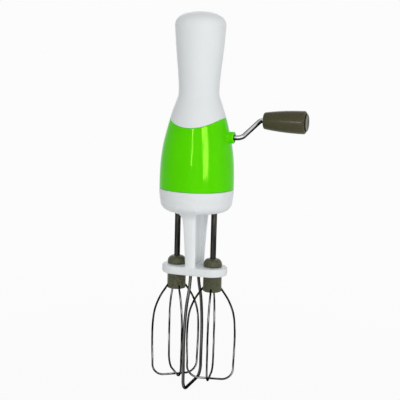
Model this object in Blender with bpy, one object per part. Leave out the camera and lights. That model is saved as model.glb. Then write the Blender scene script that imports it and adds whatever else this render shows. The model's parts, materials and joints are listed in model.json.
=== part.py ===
"""A hand-cranked twin beater, built from its separate pieces in Blender 4.5.

Run it with blender --background --python part.py, or from Blender's text editor.
Sizes are in metres and +Z is up. The origin is the middle of the stand loop's foot, the crank's
axle runs along +X, and the front of the beater faces -Y.
"""

import math

import bmesh
import bpy
from mathutils import Matrix, Vector

MM = 0.001
FULL_TURN = 2 * math.pi
SEAT_GAP = 0.3 * MM
CUT_OVERRUN = 1.0 * MM

# The white handle and the green sleeve share one turned outline: (height, radius) stations.
OUTLINE_STATIONS = (
    (166.3 * MM, 30.6 * MM),
    (178.0 * MM, 30.5 * MM),
    (190.0 * MM, 29.9 * MM),
    (202.0 * MM, 28.4 * MM),
    (212.0 * MM, 26.3 * MM),
    (223.0 * MM, 23.45 * MM),
    (231.0 * MM, 20.95 * MM),
    (238.0 * MM, 18.5 * MM),
    (243.0 * MM, 16.75 * MM),
    (250.0 * MM, 16.45 * MM),
    (262.0 * MM, 17.3 * MM),
    (280.0 * MM, 19.2 * MM),
    (299.0 * MM, 20.6 * MM),
)
HANDLE_SHOULDER_Z = 299.0 * MM
HANDLE_TOP_Z = 310.2 * MM
DOME_FULLNESS = 2.2
HANDLE_WALL = 2.2 * MM
HANDLE_INSIDE_START_Z = 232.0 * MM
HANDLE_INSIDE_TOP = (0.6, 306.0 * MM)
HANDLE_SPLIT_GAP = 0.3 * MM

# The seam between handle and sleeve dips at the front and the rear.
SEAM_SIDE_Z = 225.8 * MM
SEAM_DIP = 7.4 * MM
SPIGOT_BOTTOM_Z = 216.2 * MM
SPIGOT_WALL = 1.5 * MM
SLEEVE_BOTTOM_Z = 167.7 * MM
SLEEVE_WALL = 2.0 * MM
SLEEVE_EDGE = 0.5 * MM

AXLE_Z = 210.5 * MM
AXLE_RADIUS = 2.0 * MM
AXLE_LEFT_X = -23.6 * MM
AXLE_BEND_X = 36.9 * MM
AXLE_BEND_RADIUS = 5.5 * MM
BOSS_RADIUS = 4.8 * MM
BOSS_END_X = 31.0 * MM
BOSS_INNER_X = 24.0 * MM
BOSS_EDGE = 0.6 * MM
RUNNING_GAP = 0.25 * MM
AXLE_BUSH_RADIUS = 3.0 * MM
BUSH_FLANGE_RADIUS = 4.0 * MM
BUSH_FLANGE = 0.9 * MM
CLIP_X = -21.9 * MM
CLIP_THICKNESS = 0.8 * MM
CLIP_GROOVE = 1.5 * MM
CLIP_GROOVE_DEPTH = 0.5 * MM
CLIP_RADIUS = 3.6 * MM
CLIP_MOUTH_HALF = 1.3 * MM

# Where the knob's pin runs, as its distance from the axle.
PIN_BACK = 24.0 * MM
PIN_UP = 13.0 * MM
PIN_START_X = 46.0 * MM
PIN_BEND_RADIUS = 3.4 * MM
PIN_END_X = 82.8 * MM
KNOB_LEFT_X = 49.0 * MM
KNOB_RIGHT_X = 84.0 * MM
KNOB_STATIONS = (
    (0.0 * MM, 6.9 * MM),
    (8.0 * MM, 8.0 * MM),
    (16.0 * MM, 8.8 * MM),
    (26.0 * MM, 9.35 * MM),
    (33.0 * MM, 9.45 * MM),
)
KNOB_END_ROUND = 2.0 * MM
KNOB_LEFT_ROUND = 0.9 * MM
KNOB_CAP_RADIUS = 6.3 * MM
KNOB_CAP_DEPTH = 2.4 * MM
KNOB_CAP_RISE = 1.0 * MM
KNOB_SIDE_START = 1.5 * MM
RETAINER_RADIUS = 4.2 * MM
RETAINER_THICKNESS = 0.6 * MM

# The lower housing: a round cup, an I-beam leg below it and an oval guide plate.
CUP_TOP_Z = 167.4 * MM
CUP_BOTTOM_Z = 149.0 * MM
CUP_RADIUS = 30.6 * MM
CUP_WALL_RADIUS = 29.6 * MM
CUP_CORNER = 8.0 * MM
CUP_WALL = 2.4 * MM
CUP_SPIGOT_Z = 169.6 * MM
CUP_EDGE = 0.5 * MM
CUP_FLOOR_CORNER = 3.0 * MM
PLATE_BOTTOM_Z = 96.2 * MM
PLATE_TOP_Z = 103.0 * MM
PLATE_HALF_LENGTH = 27.8 * MM
PLATE_HALF_WIDTH = 14.0 * MM
PLATE_EDGE = 1.4 * MM
WEB_HALF_THICKNESS = 1.5 * MM
FLANGE_THICKNESS = 2.8 * MM
FLANGE_CROWN = 0.9 * MM
# Up the leg's flange: (height, distance of its outer face from the middle, half width).
FLANGE_STATIONS = (
    (96.8 * MM, 13.4 * MM, 4.1 * MM),
    (103.0 * MM, 13.7 * MM, 4.2 * MM),
    (110.0 * MM, 14.2 * MM, 4.35 * MM),
    (122.0 * MM, 15.6 * MM, 4.6 * MM),
    (134.0 * MM, 17.1 * MM, 5.0 * MM),
    (141.0 * MM, 18.3 * MM, 5.4 * MM),
    (145.0 * MM, 19.9 * MM, 5.8 * MM),
    (149.0 * MM, 24.3 * MM, 7.0 * MM),
    (152.0 * MM, 27.8 * MM, 8.0 * MM),
    (156.0 * MM, 29.5 * MM, 7.0 * MM),
    (161.0 * MM, 30.2 * MM, 4.0 * MM),
)

# The two driven shafts stand either side of the leg.
SHAFT_X = 15.75 * MM
SHAFT_RADIUS = 2.4 * MM
SHAFT_NECK_RADIUS = 2.2 * MM
SHAFT_NECK_Z = 190.8 * MM
SHAFT_BOTTOM_Z = 85.4 * MM
SHAFT_TOP_Z = 205.4 * MM
COLLAR_RADIUS = 7.7 * MM
COLLAR_BOTTOM_Z = 82.3 * MM
COLLAR_TOP_Z = 95.85 * MM
COLLAR_EDGE = 0.7 * MM
DOME_RADIUS = 7.75 * MM
DOME_BOTTOM_Z = 103.35 * MM
DOME_SKIRT_Z = 104.7 * MM
DOME_TOP_Z = 109.9 * MM
DOME_TOP_RADIUS = 3.1 * MM
SHAFT_TIP = 0.4 * MM

# Each beater is two wire loops at right angles, the second passing over the first at the foot.
BEATER_WIRE_RADIUS = 0.85 * MM
BEATER_FOOT_Z = 6.7 * MM
LOOP_STEP = 2 * BEATER_WIRE_RADIUS + SEAT_GAP
BEATER_CORNER = 10.0 * MM
BEATER_SOCKET_GAP = 0.35 * MM
LEFT_BEATER_TURN = math.radians(35.0)
RIGHT_BEATER_TURN = math.radians(10.0)
# Down one side of a loop: (distance from the shaft's axis, height).
BEATER_STATIONS = (
    (4.9 * MM, 88.0 * MM),
    (8.3 * MM, 83.6 * MM),
    (14.2 * MM, 74.6 * MM),
    (18.3 * MM, 64.0 * MM),
    (19.9 * MM, 51.0 * MM),
    (20.0 * MM, 36.0 * MM),
    (19.5 * MM, 20.0 * MM),
)

STAND_WIRE_RADIUS = 1.3 * MM
STAND_FLAT_DEPTH = 0.15 * MM
STAND_CORNER = 9.0 * MM
STAND_SOCKET_GAP = 0.4 * MM
STAND_STATIONS = (
    (9.9 * MM, 99.6 * MM),
    (10.2 * MM, 94.0 * MM),
    (12.6 * MM, 85.0 * MM),
    (18.3 * MM, 72.5 * MM),
    (21.8 * MM, 58.0 * MM),
    (23.4 * MM, 42.0 * MM),
    (22.8 * MM, 18.0 * MM),
)

# One crown wheel on the axle turns both pinions, one on each face.
TOOTH_MODULE = 1.0 * MM
CROWN_TEETH = 32
PINION_TEETH = 8
CROWN_PITCH_RADIUS = CROWN_TEETH * TOOTH_MODULE / 2
PINION_PITCH_RADIUS = PINION_TEETH * TOOTH_MODULE / 2
CROWN_FACE_HALF = SHAFT_X - PINION_PITCH_RADIUS
FACE_WIDTH = 3.6 * MM
TOOTH_ADDENDUM = 0.65 * MM
TOOTH_DEDENDUM = 0.9 * MM
TIP_TOOTH_SHARE = 0.20
ROOT_TOOTH_SHARE = 0.60
HUB_RADIUS = 5.0 * MM
HUB_HALF_LENGTH = 9.5 * MM
CROWN_WEB_HALF = 1.5 * MM
DRIVE_PIN_RADIUS = 0.75 * MM
DRIVE_PIN_LENGTH = 9.4 * MM
DRIVE_PIN_X = 7.0 * MM
PINION_HUB_TOP_Z = 197.4 * MM
PINION_HUB_BELOW = 1.6 * MM

# The moulded frame inside the sleeve carries the axle and the tops of the shafts.
FRAME_BASE_BOTTOM_Z = 169.95 * MM
FRAME_BASE_TOP_Z = 173.0 * MM
FRAME_BASE_RADIUS = 27.6 * MM
UPRIGHT_INNER_X = 17.5 * MM
UPRIGHT_OUTER_X = 20.4 * MM
UPRIGHT_TOP_Z = 215.2 * MM
UPRIGHT_BASE_HALF = 9.0 * MM
UPRIGHT_TOP_HALF = 5.0 * MM
UPRIGHT_SHOULDER_Z = 203.0 * MM
WINDOW_BOTTOM_Z = 189.5 * MM
WINDOW_TOP_Z = 197.9 * MM
WINDOW_HALF = 6.0 * MM
BEARING_ARM_RADIUS = 4.4 * MM
BEARING_ARM_BOTTOM_Z = 198.4 * MM
BEARING_ARM_TOP_Z = 203.4 * MM
SHAFT_BUSH_RADIUS = 3.2 * MM
LOWER_BUSH_FLANGE_RADIUS = 4.6 * MM
LOWER_BUSH_HEAD = 4.5 * MM
FRAME_BOSS_TOP_Z = 180.0 * MM

SCREW_SHANK_RADIUS = 1.3 * MM
SCREW_HEAD_RADIUS = 2.5 * MM
SCREW_HEAD_HEIGHT = 1.8 * MM
SCREW_BOSS_RADIUS = 3.4 * MM
FRAME_SCREW_HEAD_Z = CUP_BOTTOM_Z + SCREW_HEAD_HEIGHT + 0.3 * MM
FRAME_SCREW_TIP_Z = 178.5 * MM
HANDLE_SCREW_DEPTH = 3.6 * MM
HANDLE_SCREW_TIP_Y = -8.0 * MM
FRAME_SCREW_PLACES = (("front", -12.0 * MM, -14.5 * MM), ("rear", 12.0 * MM, 14.5 * MM))
HANDLE_SCREW_PLACES = (("upper", 284.0 * MM), ("lower", 252.0 * MM))

ROUND_STEPS = 28
SMALL_STEPS = 20
BORE_STEPS = 14
HIDDEN_STEPS = 10
FORM_PHASE = 0.23
CUT_PHASE = 0.61


def clear_scene():
    """Remove every object that the file opened with."""
    for obj in list(bpy.data.objects):
        bpy.data.objects.remove(obj)


def make_material(name, colour, roughness, metallic=0.0):
    """Return a Principled material of one colour."""
    material = bpy.data.materials.new(name)
    material.use_nodes = True
    shader = material.node_tree.nodes["Principled BSDF"]
    shader.inputs["Base Color"].default_value = (*colour, 1.0)
    shader.inputs["Roughness"].default_value = roughness
    shader.inputs["Metallic"].default_value = metallic
    material.diffuse_color = (*colour, 1.0)
    return material


def make_empty(name, location):
    """Return an empty that stands on a joint's axis."""
    empty = bpy.data.objects.new(name, None)
    empty.location = location
    empty.empty_display_size = 0.02
    bpy.context.scene.collection.objects.link(empty)
    return empty


def finish_mesh(name, bm, material=None, parent=None):
    """Turn a bmesh into a smooth-shaded object, placed under its parent without moving it."""
    bmesh.ops.recalc_face_normals(bm, faces=bm.faces)
    mesh = bpy.data.meshes.new(name)
    bm.to_mesh(mesh)
    bm.free()
    return place_mesh(name, mesh, material, parent)


def place_mesh(name, mesh, material=None, parent=None):
    """Link a mesh given in world coordinates, with its origin on the parent empty."""
    for polygon in mesh.polygons:
        polygon.use_smooth = True
    mesh.set_sharp_from_angle(angle=math.radians(35.0))
    obj = bpy.data.objects.new(name, mesh)
    bpy.context.scene.collection.objects.link(obj)
    if material is not None:
        mesh.materials.append(material)
    if parent is not None:
        mesh.transform(Matrix.Translation(-parent.location))
        obj.parent = parent
    return obj


def smooth_value(stations, position, column=1):
    """Read a smooth curve through (position, value, ...) stations that rise in position."""
    last = len(stations) - 1
    span = 0
    while span < last - 1 and position > stations[span + 1][0]:
        span += 1

    def slope(index):
        before = stations[max(index - 1, 0)]
        after = stations[min(index + 1, last)]
        return (after[column] - before[column]) / (after[0] - before[0])

    start, end = stations[span], stations[span + 1]
    width = end[0] - start[0]
    t = min(max((position - start[0]) / width, 0.0), 1.0)
    rise = (2 * t**3 - 3 * t**2 + 1) * start[column] + (3 * t**2 - 2 * t**3) * end[column]
    bend = (t**3 - 2 * t**2 + t) * slope(span) + (t**3 - t**2) * slope(span + 1)
    return rise + bend * width


def smooth_path(points, steps):
    """Return points along a smooth curve through the given ones, with steps to each span."""
    lengths = [0.0]
    for before, after in zip(points, points[1:]):
        lengths.append(lengths[-1] + (Vector(after) - Vector(before)).length)
    stations = [(length, *point) for length, point in zip(lengths, points)]
    path = []
    for start, end in zip(lengths, lengths[1:]):
        for step in range(steps):
            position = start + (end - start) * step / steps
            path.append(tuple(smooth_value(stations, position, c) for c in range(1, len(stations[0]))))
    path.append(tuple(points[-1]))
    return path


def arc_points(centre, radius, start, end, steps):
    """Return points on an arc in a plane, from one angle to another."""
    angles = [start + (end - start) * step / steps for step in range(steps + 1)]
    return [(centre[0] + radius * math.cos(a), centre[1] + radius * math.sin(a)) for a in angles]


def swept_bmesh(outline_at, steps, start=0.0, end=None):
    """Sweep a closed outline of (radius, height) points about the Z axis.

    outline_at gives the outline at an angle, always with the same number of points. Points on
    the axis become one vertex. A sweep with no end goes all round, and one with an end is closed
    there and at its start.
    """
    closed = end is None
    end = start + FULL_TURN if closed else end
    bm = bmesh.new()
    axis_verts = {}
    columns = []
    for step in range(steps if closed else steps + 1):
        angle = start + (end - start) * step / steps
        column = []
        for index, (radius, height) in enumerate(outline_at(angle)):
            if radius < 1e-7:
                if index not in axis_verts:
                    axis_verts[index] = bm.verts.new((0.0, 0.0, height))
                column.append(axis_verts[index])
            else:
                column.append(bm.verts.new((radius * math.cos(angle), radius * math.sin(angle), height)))
        columns.append(column)
    pairs = list(zip(columns, columns[1:]))
    if closed:
        pairs.append((columns[-1], columns[0]))
    count = len(columns[0])
    for left, right in pairs:
        for index in range(count):
            after = (index + 1) % count
            corners = []
            for vert in (left[index], left[after], right[after], right[index]):
                if vert not in corners:
                    corners.append(vert)
            if len(corners) > 2:
                bm.faces.new(corners)
    if not closed:
        bm.faces.new(columns[0])
        bm.faces.new(list(reversed(columns[-1])))
    return bm


def turned(name, outline, steps, material=None, parent=None, axis="Z", centre=(0.0, 0.0, 0.0), phase=0.0):
    """Turn a closed (radius, distance along the axis) outline into a solid about an axis.

    phase turns its facets by part of a step, so that a helper's edges miss those of its piece.
    """
    bm = swept_bmesh(lambda angle: outline, steps, start=phase * FULL_TURN / steps)
    turns = {
        "Z": Matrix.Identity(4),
        "X": Matrix.Rotation(math.pi / 2, 4, "Y"),
        "Y": Matrix.Rotation(-math.pi / 2, 4, "X"),
    }
    bmesh.ops.transform(bm, matrix=Matrix.Translation(centre) @ turns[axis], verts=bm.verts)
    return finish_mesh(name, bm, material, parent)


def turned_form(name, outline, steps, **place):
    """Turn a helper that is joined to a piece."""
    return turned(name, outline, steps, phase=FORM_PHASE, **place)


def turned_cut(name, outline, steps, **place):
    """Turn a helper that is cut out of a piece."""
    return turned(name, outline, steps, phase=CUT_PHASE, **place)


def cylinder_outline(radius, start, end):
    """Return the outline of a plain rod between two distances along its axis."""
    return [(0.0, start), (radius, start), (radius, end), (0.0, end)]


def tube_outline(inner, outer, start, end):
    """Return the outline of a plain sleeve."""
    return [(inner, start), (outer, start), (outer, end), (inner, end)]


def extruded(name, outline, depth_axis, start, end, material=None, parent=None):
    """Extrude a closed outline of (first, second) points along an axis.

    Along X the outline lies in Y and Z, and along Z in X and Y.
    """
    bm = bmesh.new()
    if depth_axis == "X":
        verts = [bm.verts.new((start, first, second)) for first, second in outline]
        offset = Vector((end - start, 0.0, 0.0))
    else:
        verts = [bm.verts.new((first, second, start)) for first, second in outline]
        offset = Vector((0.0, 0.0, end - start))
    face = bm.faces.new(verts)
    grown = bmesh.ops.extrude_face_region(bm, geom=[face])
    moved = [item for item in grown["geom"] if isinstance(item, bmesh.types.BMVert)]
    bmesh.ops.translate(bm, vec=offset, verts=moved)
    return finish_mesh(name, bm, material, parent)


def box(name, low, high):
    """Return a plain box between two corners."""
    outline = [(low[0], low[1]), (high[0], low[1]), (high[0], high[1]), (low[0], high[1])]
    return extruded(name, outline, "Z", low[2], high[2])


def combine(obj, operation, others):
    """Join or cut an object with helpers, then leave the helpers out of the render."""
    for other in others:
        modifier = obj.modifiers.new(f"{operation.lower()}_{other.name}", "BOOLEAN")
        modifier.operation = operation
        modifier.object = other
        other.hide_render = True
        other.hide_set(True)
        other.display_type = "WIRE"
    return obj


def wire_curve(name, points, radius, sides_resolution, material=None, parent=None):
    """Return a round wire through the points, as a curve with filled ends."""
    origin = parent.location if parent is not None else Vector((0.0, 0.0, 0.0))
    curve = bpy.data.curves.new(name, "CURVE")
    curve.dimensions = "3D"
    curve.twist_mode = "MINIMUM"
    curve.bevel_depth = radius
    curve.bevel_resolution = sides_resolution
    curve.use_fill_caps = True
    spline = curve.splines.new("POLY")
    spline.points.add(len(points) - 1)
    for point, place in zip(spline.points, points):
        point.co = (*(Vector(place) - origin), 1.0)
    obj = bpy.data.objects.new(name, curve)
    bpy.context.scene.collection.objects.link(obj)
    if material is not None:
        curve.materials.append(material)
    if parent is not None:
        obj.parent = parent
    return obj


def wire_mesh(name, points, radius, sides_resolution):
    """Return a round wire as a welded mesh, which a Boolean can take."""
    curve = wire_curve(name + "_curve", points, radius, sides_resolution)
    bpy.context.view_layer.update()
    graph = bpy.context.evaluated_depsgraph_get()
    mesh = bpy.data.meshes.new_from_object(curve.evaluated_get(graph))
    bpy.data.objects.remove(curve)
    bm = bmesh.new()
    bm.from_mesh(mesh)
    bmesh.ops.remove_doubles(bm, verts=bm.verts, dist=1e-6)
    return finish_mesh(name, bm)


def body_radius(height):
    """Return the outer radius of the handle or the sleeve at a height."""
    if height <= HANDLE_SHOULDER_Z:
        return smooth_value(OUTLINE_STATIONS, height)
    share = (height - HANDLE_SHOULDER_Z) / (HANDLE_TOP_Z - HANDLE_SHOULDER_Z)
    return OUTLINE_STATIONS[-1][1] * max(1.0 - share**DOME_FULLNESS, 0.0) ** (1 / DOME_FULLNESS)


def seam_height(angle):
    """Return the height of the seam under the handle at an angle from +X."""
    return SEAM_SIDE_Z - SEAM_DIP * math.sin(angle) ** 2


def handle_outline(angle):
    """Return the section of the hollow handle, from its top round to its inside."""
    seam = seam_height(angle) + SEAT_GAP / 2
    dome_steps = 5
    side_steps = 9
    outer = [(0.0, HANDLE_TOP_Z)]
    for step in range(1, dome_steps + 1):
        lean = math.pi / 2 * step / dome_steps
        share = math.cos(lean) ** (2 / DOME_FULLNESS)
        reach = OUTLINE_STATIONS[-1][1] * math.sin(lean) ** (2 / DOME_FULLNESS)
        outer.append((reach, HANDLE_SHOULDER_Z + (HANDLE_TOP_Z - HANDLE_SHOULDER_Z) * share))
    for step in range(1, side_steps + 1):
        height = HANDLE_SHOULDER_Z + (seam - HANDLE_SHOULDER_Z) * step / side_steps
        outer.append((body_radius(height), height))
    spigot_gap = SLEEVE_WALL + SEAT_GAP
    rim = [(body_radius(seam) - spigot_gap, seam)]
    rim.append((body_radius(SPIGOT_BOTTOM_Z) - spigot_gap, SPIGOT_BOTTOM_Z))
    rim.append((body_radius(SPIGOT_BOTTOM_Z) - spigot_gap - SPIGOT_WALL, SPIGOT_BOTTOM_Z))
    inner = []
    inner_steps = 3
    for step in range(inner_steps + 1):
        height = HANDLE_INSIDE_START_Z + (HANDLE_SHOULDER_Z - HANDLE_INSIDE_START_Z) * step / inner_steps
        inner.append((body_radius(height) - HANDLE_WALL, height))
    dome_share, dome_height = HANDLE_INSIDE_TOP
    inner.append((inner[-1][0] * dome_share, dome_height))
    inner.append((0.0, HANDLE_TOP_Z - HANDLE_WALL))
    return outer + rim + inner


def screw_outline(length):
    """Return the outline of a pan-head screw whose head sits on zero, its point at length."""
    point = SCREW_SHANK_RADIUS
    return [
        (0.0, -SCREW_HEAD_HEIGHT),
        (SCREW_HEAD_RADIUS * 0.7, -SCREW_HEAD_HEIGHT),
        (SCREW_HEAD_RADIUS, -SCREW_HEAD_HEIGHT * 0.6),
        (SCREW_HEAD_RADIUS, 0.0),
        (SCREW_SHANK_RADIUS, 0.0),
        (SCREW_SHANK_RADIUS, length - point),
        (0.0, length),
    ]


def add_screw(name, place, axis, forward, length, material):
    """Add a screw with its head at place, pointing along +axis or -axis."""
    outline = [(radius, forward * along) for radius, along in screw_outline(length)]
    return turned(name, outline, SMALL_STEPS // 2, material, axis=axis, centre=place)


def build_handle(materials):
    """Add the two halves of the handle and the screws that hold them together."""
    halves = {}
    for name, start, side in (("handle_front_shell", math.pi, -1), ("handle_rear_shell", 0.0, 1)):
        bm = swept_bmesh(handle_outline, ROUND_STEPS // 2, start, start + math.pi)
        bmesh.ops.translate(bm, vec=(0.0, side * HANDLE_SPLIT_GAP / 2, 0.0), verts=bm.verts)
        halves[name] = finish_mesh(name, bm, materials["white"])
    for label, height in HANDLE_SCREW_PLACES:
        wall = body_radius(height)
        inside = wall - HANDLE_WALL / 2
        seat_y = wall - HANDLE_SCREW_DEPTH - SCREW_HEAD_HEIGHT
        gap = HANDLE_SPLIT_GAP / 2
        front_boss = turned_form(
            f"{label}_front_boss",
            cylinder_outline(SCREW_BOSS_RADIUS, -inside, -gap),
            HIDDEN_STEPS, axis="Y", centre=(0.0, 0.0, height),
        )
        rear_boss = turned_form(
            f"{label}_rear_boss",
            cylinder_outline(SCREW_BOSS_RADIUS + 0.8 * MM, gap, inside),
            HIDDEN_STEPS, axis="Y", centre=(0.0, 0.0, height),
        )
        bore = SCREW_SHANK_RADIUS + SEAT_GAP
        recess = SCREW_HEAD_RADIUS + SEAT_GAP
        hole = turned_cut(
            f"{label}_screw_hole",
            [
                (0.0, HANDLE_SCREW_TIP_Y - SEAT_GAP),
                (bore, HANDLE_SCREW_TIP_Y - SEAT_GAP),
                (bore, seat_y - SEAT_GAP),
                (recess, seat_y - SEAT_GAP),
                (recess, wall + CUT_OVERRUN),
                (0.0, wall + CUT_OVERRUN),
            ],
            HIDDEN_STEPS, axis="Y", centre=(0.0, 0.0, height),
        )
        combine(halves["handle_front_shell"], "UNION", [front_boss])
        combine(halves["handle_rear_shell"], "UNION", [rear_boss])
        combine(halves["handle_front_shell"], "DIFFERENCE", [hole])
        combine(halves["handle_rear_shell"], "DIFFERENCE", [hole])
        add_screw(
            f"handle_{label}_screw", (0.0, seat_y, height), "Y", -1,
            seat_y - HANDLE_SCREW_TIP_Y, materials["screw"],
        )


def sleeve_outline(angle):
    """Return the section of the sleeve, which is thinner at its two rounded rims."""
    seam = seam_height(angle) - SEAT_GAP / 2
    bottom = SLEEVE_BOTTOM_Z + SEAT_GAP / 2
    edge = SLEEVE_EDGE
    steps = 6
    inner_shares = (0.0, 0.5, 0.8, 1.0)
    outer = []
    for step in range(steps + 1):
        height = seam - edge + (bottom + edge - seam + edge) * step / steps
        outer.append((body_radius(height), height))
    inner = []
    for share in inner_shares:
        height = bottom + (seam - bottom) * share
        inner.append((body_radius(height) - SLEEVE_WALL, height))
    top = [(body_radius(seam) - edge, seam)]
    foot = [(body_radius(bottom) - edge, bottom)]
    return top + outer + foot + inner


def build_sleeve(materials):
    """Add the green sleeve with the boss that the crank's axle comes out of."""
    sleeve = finish_mesh("body_sleeve", swept_bmesh(sleeve_outline, ROUND_STEPS), materials["green"])
    boss = turned_form(
        "sleeve_boss",
        [
            (0.0, BOSS_INNER_X),
            (BOSS_RADIUS, BOSS_INNER_X),
            (BOSS_RADIUS, BOSS_END_X - BOSS_EDGE),
            (BOSS_RADIUS - BOSS_EDGE, BOSS_END_X),
            (0.0, BOSS_END_X),
        ],
        SMALL_STEPS, axis="X", centre=(0.0, 0.0, AXLE_Z),
    )
    bore = turned_cut(
        "sleeve_boss_bore",
        cylinder_outline(AXLE_BUSH_RADIUS + SEAT_GAP, BOSS_INNER_X - CUT_OVERRUN, BOSS_END_X + CUT_OVERRUN),
        SMALL_STEPS, axis="X", centre=(0.0, 0.0, AXLE_Z),
    )
    combine(sleeve, "UNION", [boss])
    combine(sleeve, "DIFFERENCE", [bore])


def spigot_radius():
    """Return the outer radius of the cup's spigot, which sits inside the sleeve."""
    return body_radius(SLEEVE_BOTTOM_Z) - SLEEVE_WALL - SEAT_GAP


def cup_outline():
    """Return the section of the cup before it is hollowed."""
    corner_centre = (CUP_WALL_RADIUS - CUP_CORNER, CUP_BOTTOM_Z + CUP_CORNER)
    corner = arc_points(corner_centre, CUP_CORNER, -math.pi / 2, 0.0, 4)
    wall = [
        (CUP_RADIUS - 0.3 * MM, CUP_TOP_Z - 4.0 * MM),
        (CUP_RADIUS, CUP_TOP_Z - CUP_EDGE),
        (CUP_RADIUS - CUP_EDGE, CUP_TOP_Z),
    ]
    spigot = [(spigot_radius(), CUP_TOP_Z), (spigot_radius(), CUP_SPIGOT_Z), (0.0, CUP_SPIGOT_Z)]
    return [(0.0, CUP_BOTTOM_Z)] + corner + wall + spigot


def cup_hollow_outline():
    """Return the section of the space inside the cup and its spigot."""
    floor = CUP_BOTTOM_Z + CUP_WALL
    mouth = spigot_radius() - SPIGOT_WALL
    return [
        (0.0, floor),
        (CUP_WALL_RADIUS - CUP_CORNER + CUP_FLOOR_CORNER, floor),
        (CUP_WALL_RADIUS - CUP_WALL, CUP_BOTTOM_Z + CUP_CORNER),
        (mouth, CUP_TOP_Z),
        (mouth, CUP_SPIGOT_Z + CUT_OVERRUN),
        (0.0, CUP_SPIGOT_Z + CUT_OVERRUN),
    ]


def plate_outline(inset):
    """Return the guide plate's outline: two half circles and straight sides."""
    radius = PLATE_HALF_WIDTH - inset
    reach = PLATE_HALF_LENGTH - PLATE_HALF_WIDTH
    right = arc_points((reach, 0.0), radius, -math.pi / 2, math.pi / 2, 9)
    left = arc_points((-reach, 0.0), radius, math.pi / 2, 1.5 * math.pi, 9)
    return right + left


def plate_bmesh():
    """Return the guide plate with rounded rims, as rings of its outline."""
    rings = (
        (PLATE_BOTTOM_Z, PLATE_EDGE),
        (PLATE_BOTTOM_Z + PLATE_EDGE * 0.3, PLATE_EDGE * 0.3),
        (PLATE_BOTTOM_Z + PLATE_EDGE, 0.0),
        (PLATE_TOP_Z - PLATE_EDGE, 0.0),
        (PLATE_TOP_Z - PLATE_EDGE * 0.3, PLATE_EDGE * 0.3),
        (PLATE_TOP_Z, PLATE_EDGE),
    )
    bm = bmesh.new()
    loops = [[bm.verts.new((x, y, z)) for x, y in plate_outline(inset)] for z, inset in rings]
    for lower, upper in zip(loops, loops[1:]):
        for index in range(len(lower)):
            after = (index + 1) % len(lower)
            bm.faces.new((lower[index], lower[after], upper[after], upper[index]))
    bm.faces.new(list(reversed(loops[0])))
    bm.faces.new(loops[-1])
    return bm


def flange_bmesh(side):
    """Return one flange of the leg: a crowned strap that flares into the cup's wall."""
    columns = 4
    rows = 12
    lowest = FLANGE_STATIONS[0][0]
    highest = FLANGE_STATIONS[-1][0]
    bm = bmesh.new()
    grid = []
    for row in range(rows + 1):
        height = lowest + (highest - lowest) * row / rows
        reach = smooth_value(FLANGE_STATIONS, height, 1)
        half_width = smooth_value(FLANGE_STATIONS, height, 2)
        section = []
        for column in range(columns + 1):
            across = 2 * column / columns - 1
            crown = FLANGE_CROWN * (1 - across**2)
            section.append((half_width * across, reach - FLANGE_CROWN + crown))
        section.append((half_width, reach - FLANGE_THICKNESS))
        section.append((-half_width, reach - FLANGE_THICKNESS))
        grid.append([bm.verts.new((x, side * y, height)) for x, y in section])
    for lower, upper in zip(grid, grid[1:]):
        for index in range(len(lower)):
            after = (index + 1) % len(lower)
            bm.faces.new((lower[index], lower[after], upper[after], upper[index]))
    bm.faces.new(grid[0])
    bm.faces.new(list(reversed(grid[-1])))
    return bm


def web_outline():
    """Return the leg's web, in Y and Z, which follows the inside of both flanges."""
    rows = 8
    lowest = PLATE_TOP_Z - CUT_OVERRUN
    highest = CUP_BOTTOM_Z + CUT_OVERRUN
    rear = []
    for row in range(rows + 1):
        height = lowest + (highest - lowest) * row / rows
        reach = smooth_value(FLANGE_STATIONS, height, 1)
        rear.append((reach - FLANGE_THICKNESS / 2, height))
    front = [(-reach, height) for reach, height in reversed(rear)]
    return rear + front


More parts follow.
